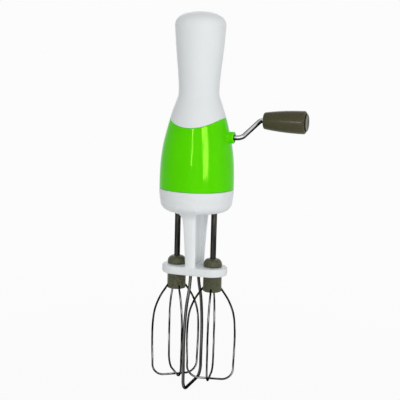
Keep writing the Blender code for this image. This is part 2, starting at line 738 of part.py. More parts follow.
def build_lower_housing(materials):
    """Add the white cup, its I-beam leg and the oval guide plate, moulded as one piece."""
    housing = turned("lower_housing", cup_outline(), ROUND_STEPS, materials["white"])
    additions = [
        finish_mesh("guide_plate_form", plate_bmesh()),
        finish_mesh("front_flange_form", flange_bmesh(-1)),
        finish_mesh("rear_flange_form", flange_bmesh(1)),
        extruded("leg_web_form", web_outline(), "X", -WEB_HALF_THICKNESS, WEB_HALF_THICKNESS),
    ]
    cutters = [turned_cut("cup_hollow", cup_hollow_outline(), ROUND_STEPS)]
    for label, x, y in FRAME_SCREW_PLACES:
        additions.append(turned_form(
            f"{label}_cup_boss",
            cylinder_outline(SCREW_BOSS_RADIUS, CUP_BOTTOM_Z + CUP_EDGE, CUP_SPIGOT_Z),
            HIDDEN_STEPS, centre=(x, y, 0.0),
        ))
        cutters.append(turned_cut(
            f"{label}_cup_screw_hole",
            [
                (0.0, CUP_BOTTOM_Z - CUT_OVERRUN),
                (SCREW_HEAD_RADIUS + SEAT_GAP, CUP_BOTTOM_Z - CUT_OVERRUN),
                (SCREW_HEAD_RADIUS + SEAT_GAP, FRAME_SCREW_HEAD_Z + SEAT_GAP),
                (SCREW_SHANK_RADIUS + SEAT_GAP, FRAME_SCREW_HEAD_Z + SEAT_GAP),
                (SCREW_SHANK_RADIUS + SEAT_GAP, CUP_SPIGOT_Z + CUT_OVERRUN),
                (0.0, CUP_SPIGOT_Z + CUT_OVERRUN),
            ],
            HIDDEN_STEPS, centre=(x, y, 0.0),
        ))
    for side, label in ((-1, "left"), (1, "right")):
        cutters.append(turned_cut(
            f"{label}_cup_bush_hole",
            cylinder_outline(
                SHAFT_BUSH_RADIUS + SEAT_GAP, CUP_BOTTOM_Z - CUT_OVERRUN, CUP_TOP_Z - CUP_WALL,
            ),
            BORE_STEPS, centre=(side * SHAFT_X, 0.0, 0.0),
        ))
        cutters.append(turned_cut(
            f"{label}_plate_hole",
            cylinder_outline(
                SHAFT_RADIUS + SEAT_GAP, PLATE_BOTTOM_Z - CUT_OVERRUN, PLATE_TOP_Z + CUT_OVERRUN,
            ),
            BORE_STEPS, centre=(side * SHAFT_X, 0.0, 0.0),
        ))
    for side, label in ((-1, "front"), (1, "rear")):
        below = [(0.0, side * y, z) for y, z in smooth_path(STAND_STATIONS[:3], 4)]
        socket_top = (0.0, below[0][1], below[0][2] + SEAT_GAP)
        cutters.append(wire_mesh(
            f"{label}_stand_socket", [socket_top] + below, STAND_WIRE_RADIUS + STAND_SOCKET_GAP, 2,
        ))
    combine(housing, "UNION", additions[:4])
    combine(housing, "DIFFERENCE", cutters[:1])
    combine(housing, "UNION", additions[4:])
    combine(housing, "DIFFERENCE", cutters[1:])


def loop_points(stations, foot_z, corner, turn, centre_x):
    """Return the route of a wire loop: down one side, across its foot and up the other."""
    side = smooth_path(stations, 2)
    low_reach = side[-1][0]
    corner_centre = (low_reach - corner, foot_z + corner)
    side += arc_points(corner_centre, corner, 0.0, -math.pi / 2, 5)
    loop = side + [(-reach, height) for reach, height in reversed(side)]
    return [
        (centre_x + reach * math.cos(turn), reach * math.sin(turn), height)
        for reach, height in loop
    ]


def build_stand(materials):
    """Add the fixed wire loop that keeps the beaters off the bowl, flat where it rests."""
    route = loop_points(
        STAND_STATIONS, STAND_WIRE_RADIUS - STAND_FLAT_DEPTH, STAND_CORNER, math.pi / 2, 0.0,
    )
    stand = wire_mesh("stand_loop", route, STAND_WIRE_RADIUS, 2)
    stand.data.materials.append(materials["dark_steel"])
    reach = STAND_STATIONS[-1][0]
    floor = box("stand_floor_cut", (-reach, -2 * reach, -reach), (reach, 2 * reach, 0.0))
    combine(stand, "DIFFERENCE", [floor])


def tooth_shares(phase):
    """Return where round one pitch a tooth's corners lie, with the tooth's middle at phase."""
    half_tip = TIP_TOOTH_SHARE / 2
    half_root = ROOT_TOOTH_SHARE / 2
    return (
        (phase - half_root, False),
        (phase - half_tip, True),
        (phase + half_tip, True),
        (phase + half_root, False),
    )


def pinion_outline(gap_angle):
    """Return the pinion's toothed outline with a gap between teeth at gap_angle."""
    outline = []
    for tooth in range(PINION_TEETH):
        for share, is_tip in tooth_shares(tooth + 0.5):
            angle = gap_angle + FULL_TURN * share / PINION_TEETH
            radius = PINION_PITCH_RADIUS + (TOOTH_ADDENDUM if is_tip else -TOOTH_DEDENDUM)
            outline.append((radius * math.cos(angle), radius * math.sin(angle)))
    return outline


def crown_rim_bmesh():
    """Return the crown wheel's rim about Z, with teeth that stand up from both of its faces."""
    inner = CROWN_PITCH_RADIUS - FACE_WIDTH / 2
    outer = CROWN_PITCH_RADIUS + FACE_WIDTH / 2
    bm = bmesh.new()
    columns = []
    for tooth in range(CROWN_TEETH):
        for share, is_tip in tooth_shares(tooth):
            angle = FULL_TURN * share / CROWN_TEETH
            half = CROWN_FACE_HALF + (TOOTH_ADDENDUM if is_tip else -TOOTH_DEDENDUM)
            section = ((inner, -half), (outer, -half), (outer, half), (inner, half))
            columns.append([
                bm.verts.new((r * math.cos(angle), r * math.sin(angle), z)) for r, z in section
            ])
    for left, right in zip(columns, columns[1:] + columns[:1]):
        for index in range(4):
            after = (index + 1) % 4
            bm.faces.new((left[index], left[after], right[after], right[index]))
    return bm


def build_crown_wheel(materials, crank):
    """Add the double-faced crown wheel and the pin that drives it from the axle."""
    place = Matrix.Translation((0.0, 0.0, AXLE_Z)) @ Matrix.Rotation(math.pi / 2, 4, "Y")
    rim = crown_rim_bmesh()
    bmesh.ops.transform(rim, matrix=place, verts=rim.verts)
    wheel = finish_mesh("crown_wheel", rim, materials["nylon"], crank)
    web_reach = CROWN_PITCH_RADIUS - FACE_WIDTH / 2 + 0.8 * MM
    web = turned_form(
        "crown_web_form",
        [
            (AXLE_RADIUS + RUNNING_GAP, -HUB_HALF_LENGTH),
            (HUB_RADIUS, -HUB_HALF_LENGTH),
            (HUB_RADIUS, -CROWN_WEB_HALF),
            (web_reach, -CROWN_WEB_HALF),
            (web_reach, CROWN_WEB_HALF),
            (HUB_RADIUS, CROWN_WEB_HALF),
            (HUB_RADIUS, HUB_HALF_LENGTH),
            (AXLE_RADIUS + RUNNING_GAP, HUB_HALF_LENGTH),
        ],
        SMALL_STEPS, axis="X", centre=(0.0, 0.0, AXLE_Z),
    )
    pin_hole = turned_cut(
        "drive_pin_hole",
        cylinder_outline(DRIVE_PIN_RADIUS + SEAT_GAP, -2 * HUB_RADIUS, 2 * HUB_RADIUS),
        HIDDEN_STEPS, centre=(DRIVE_PIN_X, 0.0, AXLE_Z),
    )
    combine(wheel, "UNION", [web])
    combine(wheel, "DIFFERENCE", [pin_hole])
    turned(
        "drive_pin",
        cylinder_outline(DRIVE_PIN_RADIUS, -DRIVE_PIN_LENGTH / 2, DRIVE_PIN_LENGTH / 2),
        HIDDEN_STEPS, materials["steel"], crank, centre=(DRIVE_PIN_X, 0.0, AXLE_Z),
    )
    return pin_hole


def bend_points(corner, incoming, outgoing, radius, steps):
    """Return points round a bend that joins two straight runs meeting at a corner."""
    turn = incoming.angle(outgoing)
    reach = radius * math.tan(turn / 2)
    start = corner - incoming * reach
    normal = (outgoing - incoming * incoming.dot(outgoing)).normalized()
    centre = start + normal * radius
    points = []
    for step in range(steps + 1):
        angle = turn * step / steps
        points.append(centre - normal * radius * math.cos(angle) + incoming * radius * math.sin(angle))
    return points


def crank_route():
    """Return the crank rod's route: the axle, a bend, the arm, a bend and the knob's pin."""
    along = Vector((1.0, 0.0, 0.0))
    axle_corner = Vector((AXLE_BEND_X, 0.0, AXLE_Z))
    pin_corner = Vector((PIN_START_X, PIN_BACK, AXLE_Z + PIN_UP))
    arm = (pin_corner - axle_corner).normalized()
    first = bend_points(axle_corner, along, arm, AXLE_BEND_RADIUS, 6)
    second = bend_points(pin_corner, arm, along, PIN_BEND_RADIUS, 6)
    start = Vector((AXLE_LEFT_X, 0.0, AXLE_Z))
    end = Vector((PIN_END_X, PIN_BACK, AXLE_Z + PIN_UP))
    return [start] + first + second + [end]


def build_crank(materials, crank):
    """Add the bent crank rod, the clip that holds its axle and the washer that holds its knob."""
    pin_hole = build_crown_wheel(materials, crank)
    rod = wire_mesh("crank_rod", crank_route(), AXLE_RADIUS, 2)
    rod.data.materials.append(materials["chrome"])
    rod.data.transform(Matrix.Translation(-crank.location))
    rod.parent = crank
    groove_floor = AXLE_RADIUS - CLIP_GROOVE_DEPTH
    groove = turned_cut(
        "clip_groove",
        tube_outline(
            groove_floor, AXLE_RADIUS + CLIP_GROOVE_DEPTH, CLIP_X - CLIP_GROOVE / 2, CLIP_X + CLIP_GROOVE / 2,
        ),
        BORE_STEPS, axis="X", centre=(0.0, 0.0, AXLE_Z),
    )
    combine(rod, "DIFFERENCE", [pin_hole, groove])
    clip = turned(
        "axle_clip",
        tube_outline(
            groove_floor + RUNNING_GAP, CLIP_RADIUS, CLIP_X - CLIP_THICKNESS / 2, CLIP_X + CLIP_THICKNESS / 2,
        ),
        BORE_STEPS, materials["steel"], crank, axis="X", centre=(0.0, 0.0, AXLE_Z),
    )
    mouth = box(
        "clip_mouth",
        (CLIP_X - CUT_OVERRUN, -CLIP_MOUTH_HALF, AXLE_Z - 2 * CLIP_RADIUS),
        (CLIP_X + CUT_OVERRUN, CLIP_MOUTH_HALF, AXLE_Z),
    )
    mouth.data.transform(Matrix.Translation(-crank.location))
    mouth.parent = crank
    combine(clip, "DIFFERENCE", [mouth])
    retainer_end = PIN_END_X - SEAT_GAP
    turned(
        "knob_retainer",
        tube_outline(
            AXLE_RADIUS + RUNNING_GAP, RETAINER_RADIUS, retainer_end - RETAINER_THICKNESS, retainer_end,
        ),
        HIDDEN_STEPS, materials["steel"], crank, axis="X", centre=(0.0, PIN_BACK, AXLE_Z + PIN_UP),
    )


def build_knob(materials, knob):
    """Add the tapered knob that turns on the crank's pin, and the cap in its end."""
    centre = (0.0, PIN_BACK, AXLE_Z + PIN_UP)
    bore = AXLE_RADIUS + RUNNING_GAP
    left_round = arc_points(
        (KNOB_STATIONS[0][1] - KNOB_LEFT_ROUND, KNOB_LEFT_X + KNOB_LEFT_ROUND),
        KNOB_LEFT_ROUND, -math.pi / 2, 0.0, 2,
    )
    side = []
    side_steps = 5
    side_end = KNOB_STATIONS[-1][0]
    for step in range(side_steps + 1):
        along = KNOB_SIDE_START + (side_end - KNOB_SIDE_START) * step / side_steps
        side.append((smooth_value(KNOB_STATIONS, along), KNOB_LEFT_X + along))
    widest = KNOB_STATIONS[-1][1]
    right_round = arc_points(
        (widest - KNOB_END_ROUND, KNOB_RIGHT_X - KNOB_END_ROUND), KNOB_END_ROUND, 0.0, math.pi / 2, 3,
    )
    socket_x = KNOB_RIGHT_X - KNOB_CAP_DEPTH
    outline = [(bore, KNOB_LEFT_X)] + left_round + side + right_round[1:] + [
        (KNOB_CAP_RADIUS + SEAT_GAP, KNOB_RIGHT_X),
        (KNOB_CAP_RADIUS + SEAT_GAP, socket_x),
        (bore, socket_x),
    ]
    turned("crank_knob", outline, SMALL_STEPS, materials["olive"], knob, axis="X", centre=centre)
    cap_start = PIN_END_X + SEAT_GAP
    turned(
        "knob_end_cap",
        [
            (0.0, cap_start),
            (KNOB_CAP_RADIUS, cap_start),
            (KNOB_CAP_RADIUS, KNOB_RIGHT_X),
            (KNOB_CAP_RADIUS - KNOB_CAP_RISE, KNOB_RIGHT_X + KNOB_CAP_RISE * 0.7),
            (0.0, KNOB_RIGHT_X + KNOB_CAP_RISE),
        ],
        SMALL_STEPS, materials["olive"], knob, axis="X", centre=centre,
    )


def build_frame(materials):
    """Add the moulded gear frame, its screws and the axle and shaft bushes."""
    frame = turned(
        "gear_frame",
        cylinder_outline(FRAME_BASE_RADIUS, FRAME_BASE_BOTTOM_Z, FRAME_BASE_TOP_Z),
        SMALL_STEPS + 4, materials["grey"],
    )
    additions = []
    cutters = []
    shoulder = [(UPRIGHT_BASE_HALF, FRAME_BASE_TOP_Z - CUT_OVERRUN), (UPRIGHT_BASE_HALF, UPRIGHT_SHOULDER_Z)]
    crown = [(UPRIGHT_TOP_HALF, UPRIGHT_TOP_Z - 3.0 * MM), (UPRIGHT_TOP_HALF - 2.0 * MM, UPRIGHT_TOP_Z)]
    half = shoulder + crown
    upright = half + [(-y, z) for y, z in reversed(half)]
    window = (
        (WINDOW_HALF, WINDOW_BOTTOM_Z), (WINDOW_HALF, WINDOW_TOP_Z),
        (-WINDOW_HALF, WINDOW_TOP_Z), (-WINDOW_HALF, WINDOW_BOTTOM_Z),
    )
    for side, label in ((-1, "left"), (1, "right")):
        near, far = side * UPRIGHT_INNER_X, side * UPRIGHT_OUTER_X
        additions.append(extruded(f"{label}_upright_form", upright, "X", near, far))
        cutters.append(extruded(
            f"{label}_window_cut", window, "X", near - side * CUT_OVERRUN, far + side * CUT_OVERRUN,
        ))
        additions.append(turned_form(
            f"{label}_bearing_arm",
            cylinder_outline(BEARING_ARM_RADIUS, BEARING_ARM_BOTTOM_Z, BEARING_ARM_TOP_Z),
            BORE_STEPS, centre=(side * SHAFT_X, 0.0, 0.0),
        ))
        cutters.append(turned_cut(
            f"{label}_shaft_bore",
            cylinder_outline(
                SHAFT_BUSH_RADIUS + SEAT_GAP, FRAME_BASE_BOTTOM_Z - CUT_OVERRUN,
                SHAFT_TOP_Z + 2 * SEAT_GAP,
            ),
            HIDDEN_STEPS, centre=(side * SHAFT_X, 0.0, 0.0),
        ))
    past_upright = UPRIGHT_OUTER_X + CUT_OVERRUN
    cutters.append(turned_cut(
        "axle_bore_cut",
        cylinder_outline(AXLE_BUSH_RADIUS + SEAT_GAP, -past_upright, past_upright),
        HIDDEN_STEPS, axis="X", centre=(0.0, 0.0, AXLE_Z),
    ))
    for label, x, y in FRAME_SCREW_PLACES:
        additions.append(turned_form(
            f"{label}_frame_boss",
            cylinder_outline(SCREW_BOSS_RADIUS, FRAME_BASE_BOTTOM_Z + CUT_OVERRUN, FRAME_BOSS_TOP_Z),
            HIDDEN_STEPS, centre=(x, y, 0.0),
        ))
        cutters.append(turned_cut(
            f"{label}_frame_screw_hole",
            cylinder_outline(
                SCREW_SHANK_RADIUS + SEAT_GAP,
                FRAME_BASE_BOTTOM_Z - CUT_OVERRUN,
                FRAME_SCREW_TIP_Z + SEAT_GAP,
            ),
            HIDDEN_STEPS, centre=(x, y, 0.0),
        ))
        add_screw(
            f"frame_{label}_screw", (x, y, FRAME_SCREW_HEAD_Z), "Z", 1,
            FRAME_SCREW_TIP_Z - FRAME_SCREW_HEAD_Z, materials["screw"],
        )
    combine(frame, "UNION", additions)
    combine(frame, "DIFFERENCE", cutters)

    inner = AXLE_RADIUS + RUNNING_GAP
    shoulder_x = UPRIGHT_INNER_X - SEAT_GAP
    for name, far_x, shoulder, thickness in (
        ("axle_bush_left", -UPRIGHT_OUTER_X, -shoulder_x, BUSH_FLANGE),
        ("axle_bush_right", BOSS_END_X - BOSS_EDGE, shoulder_x, -BUSH_FLANGE),
    ):
        turned(
            name,
            flanged_outline(inner, AXLE_BUSH_RADIUS, BUSH_FLANGE_RADIUS, far_x, shoulder, thickness),
            HIDDEN_STEPS, materials["acetal"], axis="X", centre=(0.0, 0.0, AXLE_Z),
        )


def flanged_outline(inner, outer, flange, far_end, shoulder, thickness):
    """Return a flanged bush: its tube from far_end to shoulder, then its flange."""
    return [
        (inner, far_end),
        (outer, far_end),
        (outer, shoulder),
        (flange, shoulder),
        (flange, shoulder + thickness),
        (inner, shoulder + thickness),
    ]


def build_beater(materials, label, side, turn, pivot):
    """Add one driven beater: shaft, pinion, dome, collar, its wire loops and its bushes."""
    centre = (side * SHAFT_X, 0.0, 0.0)
    turned(
        f"{label}_shaft",
        [
            (0.0, SHAFT_BOTTOM_Z),
            (SHAFT_RADIUS, SHAFT_BOTTOM_Z),
            (SHAFT_RADIUS, SHAFT_NECK_Z),
            (SHAFT_NECK_RADIUS, SHAFT_NECK_Z),
            (SHAFT_NECK_RADIUS, SHAFT_TOP_Z - SHAFT_TIP),
            (SHAFT_NECK_RADIUS - SHAFT_TIP, SHAFT_TOP_Z),
            (0.0, SHAFT_TOP_Z),
        ],
        BORE_STEPS, materials["dark_steel"], pivot, centre=centre,
    )
    shaft_hole = SHAFT_RADIUS + RUNNING_GAP
    neck_hole = SHAFT_NECK_RADIUS + RUNNING_GAP
    gap_angle = math.pi if side > 0 else 0.0
    teeth_bottom = AXLE_Z - CROWN_PITCH_RADIUS - FACE_WIDTH / 2
    outline = [(x + centre[0], y) for x, y in pinion_outline(gap_angle)]
    pinion = extruded(
        f"{label}_pinion", outline, "Z", teeth_bottom, teeth_bottom + FACE_WIDTH, materials["nylon"], pivot,
    )
    hub_bottom = teeth_bottom - PINION_HUB_BELOW
    hub = turned_form(
        f"{label}_pinion_hub",
        cylinder_outline(SHAFT_BUSH_RADIUS, hub_bottom, PINION_HUB_TOP_Z),
        BORE_STEPS, centre=centre,
    )
    bore = turned_cut(
        f"{label}_pinion_bore",
        cylinder_outline(neck_hole, hub_bottom - CUT_OVERRUN, PINION_HUB_TOP_Z + CUT_OVERRUN),
        BORE_STEPS, centre=centre,
    )
    combine(pinion, "UNION", [hub])
    combine(pinion, "DIFFERENCE", [bore])

    cap = arc_points((0.0, 0.0), 1.0, 0.0, math.pi / 2, 4)
    rise = DOME_TOP_Z - DOME_SKIRT_Z
    reach = DOME_RADIUS - DOME_TOP_RADIUS
    dome = [(DOME_TOP_RADIUS + reach * x, DOME_SKIRT_Z + rise * z) for x, z in cap]
    turned(
        f"{label}_dome",
        [(shaft_hole, DOME_BOTTOM_Z), (DOME_RADIUS, DOME_BOTTOM_Z)] + dome + [(shaft_hole, DOME_TOP_Z)],
        SMALL_STEPS, materials["olive"], pivot, centre=centre,
    )
    collar = turned(
        f"{label}_collar",
        [
            (0.0, COLLAR_BOTTOM_Z),
            (COLLAR_RADIUS - COLLAR_EDGE, COLLAR_BOTTOM_Z),
            (COLLAR_RADIUS, COLLAR_BOTTOM_Z + COLLAR_EDGE),
            (COLLAR_RADIUS, COLLAR_TOP_Z - COLLAR_EDGE / 2),
            (COLLAR_RADIUS - COLLAR_EDGE / 2, COLLAR_TOP_Z),
            (shaft_hole, COLLAR_TOP_Z),
            (shaft_hole, SHAFT_BOTTOM_Z - SEAT_GAP),
            (0.0, SHAFT_BOTTOM_Z - SEAT_GAP),
        ],
        SMALL_STEPS, materials["olive"], pivot, centre=centre,
    )
    sockets = []
    for index, name in enumerate(("outer", "inner")):
        angle = turn + index * math.pi / 2
        foot_z = BEATER_FOOT_Z + index * LOOP_STEP
        route = loop_points(BEATER_STATIONS, foot_z, BEATER_CORNER, angle, centre[0])
        wire_curve(
            f"{label}_{name}_loop", route, BEATER_WIRE_RADIUS, 1, materials["dark_steel"], pivot,
        )
        for opposite in (0, 1):
            heading = angle + opposite * math.pi
            end_reach, end_height = BEATER_STATIONS[0]
            socket_end = (end_reach - BEATER_SOCKET_GAP, end_height + BEATER_SOCKET_GAP)
            stations = (socket_end,) + BEATER_STATIONS[1:3]
            socket_route = [
                (centre[0] + r * math.cos(heading), r * math.sin(heading), z) for r, z in stations
            ]
            sockets.append(wire_mesh(
                f"{label}_{name}_socket_{opposite}", socket_route, BEATER_WIRE_RADIUS + BEATER_SOCKET_GAP, 1,
            ))
    combine(collar, "DIFFERENCE", sockets)

    turned(
        f"{label}_upper_bush",
        tube_outline(
            neck_hole, SHAFT_BUSH_RADIUS, BEARING_ARM_BOTTOM_Z + SEAT_GAP, BEARING_ARM_TOP_Z - SEAT_GAP,
        ),
        HIDDEN_STEPS, materials["acetal"], centre=centre,
    )
    floor = CUP_BOTTOM_Z + CUP_WALL
    turned(
        f"{label}_lower_bush",
        flanged_outline(
            shaft_hole, SHAFT_BUSH_RADIUS, LOWER_BUSH_FLANGE_RADIUS,
            CUP_BOTTOM_Z, floor + SEAT_GAP, LOWER_BUSH_HEAD,
        ),
        HIDDEN_STEPS, materials["acetal"], centre=centre,
    )


def main():
    """Build every piece."""
    clear_scene()
    materials = {
        "white": make_material("white_plastic", (0.78, 0.80, 0.82), 0.28),
        "green": make_material("green_plastic", (0.10, 0.62, 0.005), 0.16),
        "olive": make_material("olive_plastic", (0.072, 0.066, 0.040), 0.38),
        "grey": make_material("grey_plastic", (0.35, 0.36, 0.37), 0.5),
        "nylon": make_material("nylon", (0.72, 0.70, 0.62), 0.45),
        "acetal": make_material("acetal", (0.55, 0.55, 0.52), 0.4),
        "dark_steel": make_material("dark_steel", (0.16, 0.155, 0.15), 0.3, 1.0),
        "chrome": make_material("chrome_steel", (0.62, 0.62, 0.63), 0.16, 1.0),
        "steel": make_material("bright_steel", (0.5, 0.5, 0.5), 0.3, 1.0),
        "screw": make_material("zinc_screw", (0.55, 0.55, 0.56), 0.35, 1.0),
    }
    crank = make_empty("crank_axis", (0.0, 0.0, AXLE_Z))
    knob = make_empty("knob_axis", (0.0, PIN_BACK, AXLE_Z + PIN_UP))
    left_axis = make_empty("left_beater_axis", (-SHAFT_X, 0.0, 0.0))
    right_axis = make_empty("right_beater_axis", (SHAFT_X, 0.0, 0.0))
    build_handle(materials)
    build_sleeve(materials)
    build_lower_housing(materials)
    build_stand(materials)
    build_frame(materials)
    build_crank(materials, crank)
    build_knob(materials, knob)
    build_beater(materials, "left", -1, LEFT_BEATER_TURN, left_axis)
    build_beater(materials, "right", 1, RIGHT_BEATER_TURN, right_axis)


main()
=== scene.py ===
"""A hand-cranked twin beater: its fine surfaces, its finishes, the studio and the camera.

Every size is in metres in the part's own frame: +Z up, the crank's axle along +X, the front
facing -Y and the origin in the middle of the rest loop's foot.
"""

from __future__ import annotations

import json
import logging
import math
from dataclasses import dataclass, field
from enum import Enum
from typing import Sequence

import bpy
import numpy as np
from mathutils import Matrix, Vector


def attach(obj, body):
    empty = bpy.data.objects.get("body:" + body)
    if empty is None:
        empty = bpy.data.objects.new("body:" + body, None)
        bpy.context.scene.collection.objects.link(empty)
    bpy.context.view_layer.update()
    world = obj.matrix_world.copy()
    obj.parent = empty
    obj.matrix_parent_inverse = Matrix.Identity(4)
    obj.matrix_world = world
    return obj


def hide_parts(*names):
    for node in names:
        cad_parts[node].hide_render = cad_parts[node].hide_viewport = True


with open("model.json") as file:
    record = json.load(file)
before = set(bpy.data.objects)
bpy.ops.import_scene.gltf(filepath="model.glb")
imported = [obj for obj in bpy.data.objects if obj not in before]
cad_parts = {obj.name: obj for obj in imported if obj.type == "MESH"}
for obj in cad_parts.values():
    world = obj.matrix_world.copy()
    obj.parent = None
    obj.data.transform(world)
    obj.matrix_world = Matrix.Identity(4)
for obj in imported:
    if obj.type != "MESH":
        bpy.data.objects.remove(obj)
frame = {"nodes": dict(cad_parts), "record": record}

MM = 0.001
FULL_TURN = 2 * math.pi
WELD_DIGITS = 8
AXLE_HEIGHT = 210.5 * MM
SHAFT_X = 15.75 * MM
CREASE, SOFT_CREASE, CAP_CREASE = 38.0, 50.0, 55.0
ROD_STEPS, BORE_STEPS, CAP_STEPS, KNOB_STEPS = 40, 64, 72, 96
SLEEVE_PIECES = ("sleeve_ring", "sleeve_boss")

Array = np.ndarray
Piece = bpy.types.Object
Socket = bpy.types.NodeSocket
log = logging.getLogger("beater")


class Body(Enum):
    """The bodies that turn together."""

    HOUSING = "housing"
    CRANK = "crank"
    KNOB = "knob"
    LEFT_BEATER = "left_beater"
    RIGHT_BEATER = "right_beater"


class Slot(Enum):
    """The record's material slots."""

    WHITE = "white_plastic"
    GREEN = "green_plastic"
    OLIVE = "olive_plastic"
    GREY = "grey_plastic"
    NYLON = "nylon"
    ACETAL = "acetal"
    DARK_STEEL = "dark_steel"
    CHROME = "chrome_steel"
    BRIGHT_STEEL = "bright_steel"
    ZINC = "zinc_screw"


class Finish(Enum):
    """Every finish on the beater, by its name and the record's material slot for it."""

    WHITE = ("white_moulding", Slot.WHITE)
    GREEN = ("green_gloss_moulding", Slot.GREEN)
    KNOB = ("olive_knob_moulding", Slot.OLIVE)
    COLLAR = ("olive_collar_moulding", Slot.OLIVE)
    GREY = ("grey_gear_moulding", Slot.GREY)
    NYLON = ("cream_nylon", Slot.NYLON)
    ACETAL = ("grey_acetal", Slot.ACETAL)
    SHAFT = ("dark_drawn_shaft", Slot.DARK_STEEL)
    BEATER_WIRE = ("dark_beater_wire", Slot.DARK_STEEL)
    REST_WIRE = ("grey_rest_wire", Slot.DARK_STEEL)
    CHROME = ("chromed_rod", Slot.CHROME)
    BRIGHT = ("bright_sheet_steel", Slot.BRIGHT_STEEL)
    ZINC = ("zinc_plated_screw", Slot.ZINC)

    @property
    def slot(self) -> Slot:
        """Return the record's material slot that the finish belongs to."""
        return self.value[1]


class Axis(Enum):
    """A turned piece's axis, as where (across, across, along) go in x, y and z."""

    X = (2, 0, 1)
    Y = (1, 2, 0)
    Z = (0, 1, 2)


class Ends(Enum):
    """Which open ends of a grid are closed with a face."""

    NONE = "none"
    ROWS = "rows"
    COLUMNS = "columns"


# ---------------------------------------------------------------- curves and surfaces


def mm(*rows: Sequence[float]) -> Array:
    """Return a table of millimetres in metres."""
    return np.array(rows, dtype=float) * MM


def through_stations(stations: Array, where: Array, column: int = 1) -> Array:
    """Read a smooth curve through stations at many places at once.

    A cubic Hermite span joins each pair of stations, and the slope at a station is that of the
    straight line from the station before it to the one after it.

    Args:
        stations: Rows that rise in their first column.
        where: The places to read at, in the first column's terms.
        column: The column to read.

    Returns:
        The curve's value at each place.
    """
    at, value = stations[:, 0], stations[:, column]
    number = np.arange(len(at))
    before, after = np.maximum(number - 1, 0), np.minimum(number + 1, len(at) - 1)
    slope = (value[after] - value[before]) / (at[after] - at[before])
    span = np.clip(np.searchsorted(at, where, side="right") - 1, 0, len(at) - 2)
    width = at[span + 1] - at[span]
    t = np.clip((where - at[span]) / width, 0.0, 1.0)
    ends = (2 * t**3 - 3 * t**2 + 1) * value[span] + (3 * t**2 - 2 * t**3) * value[span + 1]
    bends = (t**3 - 2 * t**2 + t) * slope[span] + (t**3 - t**2) * slope[span + 1]
    return ends + bends * width


def smooth_route(points: Array, steps: int) -> Array:
    """Return a smooth route through points, read by the distance along their chords.

    Args:
        points: The points, one a row.
        steps: How many steps each span gets.

    Returns:
        The route's points, one a row.
    """
    chords = np.linalg.norm(np.diff(points, axis=0), axis=1)
    at = np.concatenate([[0.0], np.cumsum(chords)])
    number = np.arange((len(points) - 1) * steps + 1) / steps
    where = np.interp(number, np.arange(len(points)), at)
    table = np.column_stack([at, points])
    columns = [through_stations(table, where, column) for column in range(1, table.shape[1])]
    return np.column_stack(columns)


def arc(centre: Sequence[float], radius: float, start: float, end: float, steps: int) -> Array:
    """Return points round an arc: the centre plus the radius times (cosine, sine)."""
    angle = np.linspace(start, end, steps + 1)
    return np.array(centre) + radius * np.column_stack([np.cos(angle), np.sin(angle)])


def unit(vectors: Array) -> Array:
    """Return vectors scaled to length one."""
    return vectors / np.maximum(np.linalg.norm(vectors, axis=-1, keepdims=True), 1e-12)


def rounded(corners: Array, radii: Array, steps: int) -> Array:
    """Round the corners of closed outlines by circular arcs.

    Each arc is a conic from a point on the side before the corner to one on the side after it,
    with the corner as its middle point, weighted by the cosine of half the turn.

    Args:
        corners: Outlines as (..., corners, 2).
        radii: Each corner's radius, broadcast against the corners.
        steps: Steps round each corner.

    Returns:
        Outlines as (..., points, 2).
    """
    back = unit(np.roll(corners, 1, axis=-2) - corners)
    ahead = unit(np.roll(corners, -1, axis=-2) - corners)
    half_turn = (math.pi - np.arccos(np.clip((back * ahead).sum(-1), -1.0, 1.0))) / 2
    reach = (radii * np.tan(half_turn))[..., None]
    u = np.linspace(0.0, 1.0, steps + 1)
    first, last = ((1 - u) ** 2)[:, None], (u**2)[:, None]
    middle = (2 * u * (1 - u) * np.cos(half_turn)[..., None])[..., None]
    start = (corners + back * reach)[..., None, :]
    end = (corners + ahead * reach)[..., None, :]
    points = first * start + middle * corners[..., None, :] + last * end
    return (points / (first + middle + last)).reshape(*corners.shape[:-2], -1, 2)


def soft_excess(amount: Array, softness: Array | float) -> Array:
    """Return amount where it is over zero and zero elsewhere, with a smooth bend between."""
    return (amount + np.sqrt(amount**2 + softness**2)) / 2


def ease(share: Array) -> Array:
    """Return a smooth step from nought to one."""
    t = np.clip(share, 0.0, 1.0)
    return t * t * (3 - 2 * t)


def signed_volume(points: Array, faces: list[list[int]]) -> float:
    """Return a closed mesh's volume, negative when its faces point inwards."""
    volume = 0.0
    for count in sorted({len(face) for face in faces}):
        corners = points[np.array([face for face in faces if len(face) == count])]
        fan = np.cross(corners[:, 1:-1], corners[:, 2:])
        volume += float(np.einsum("ijk,ik->", fan, corners[:, 0]))
    return volume / 6


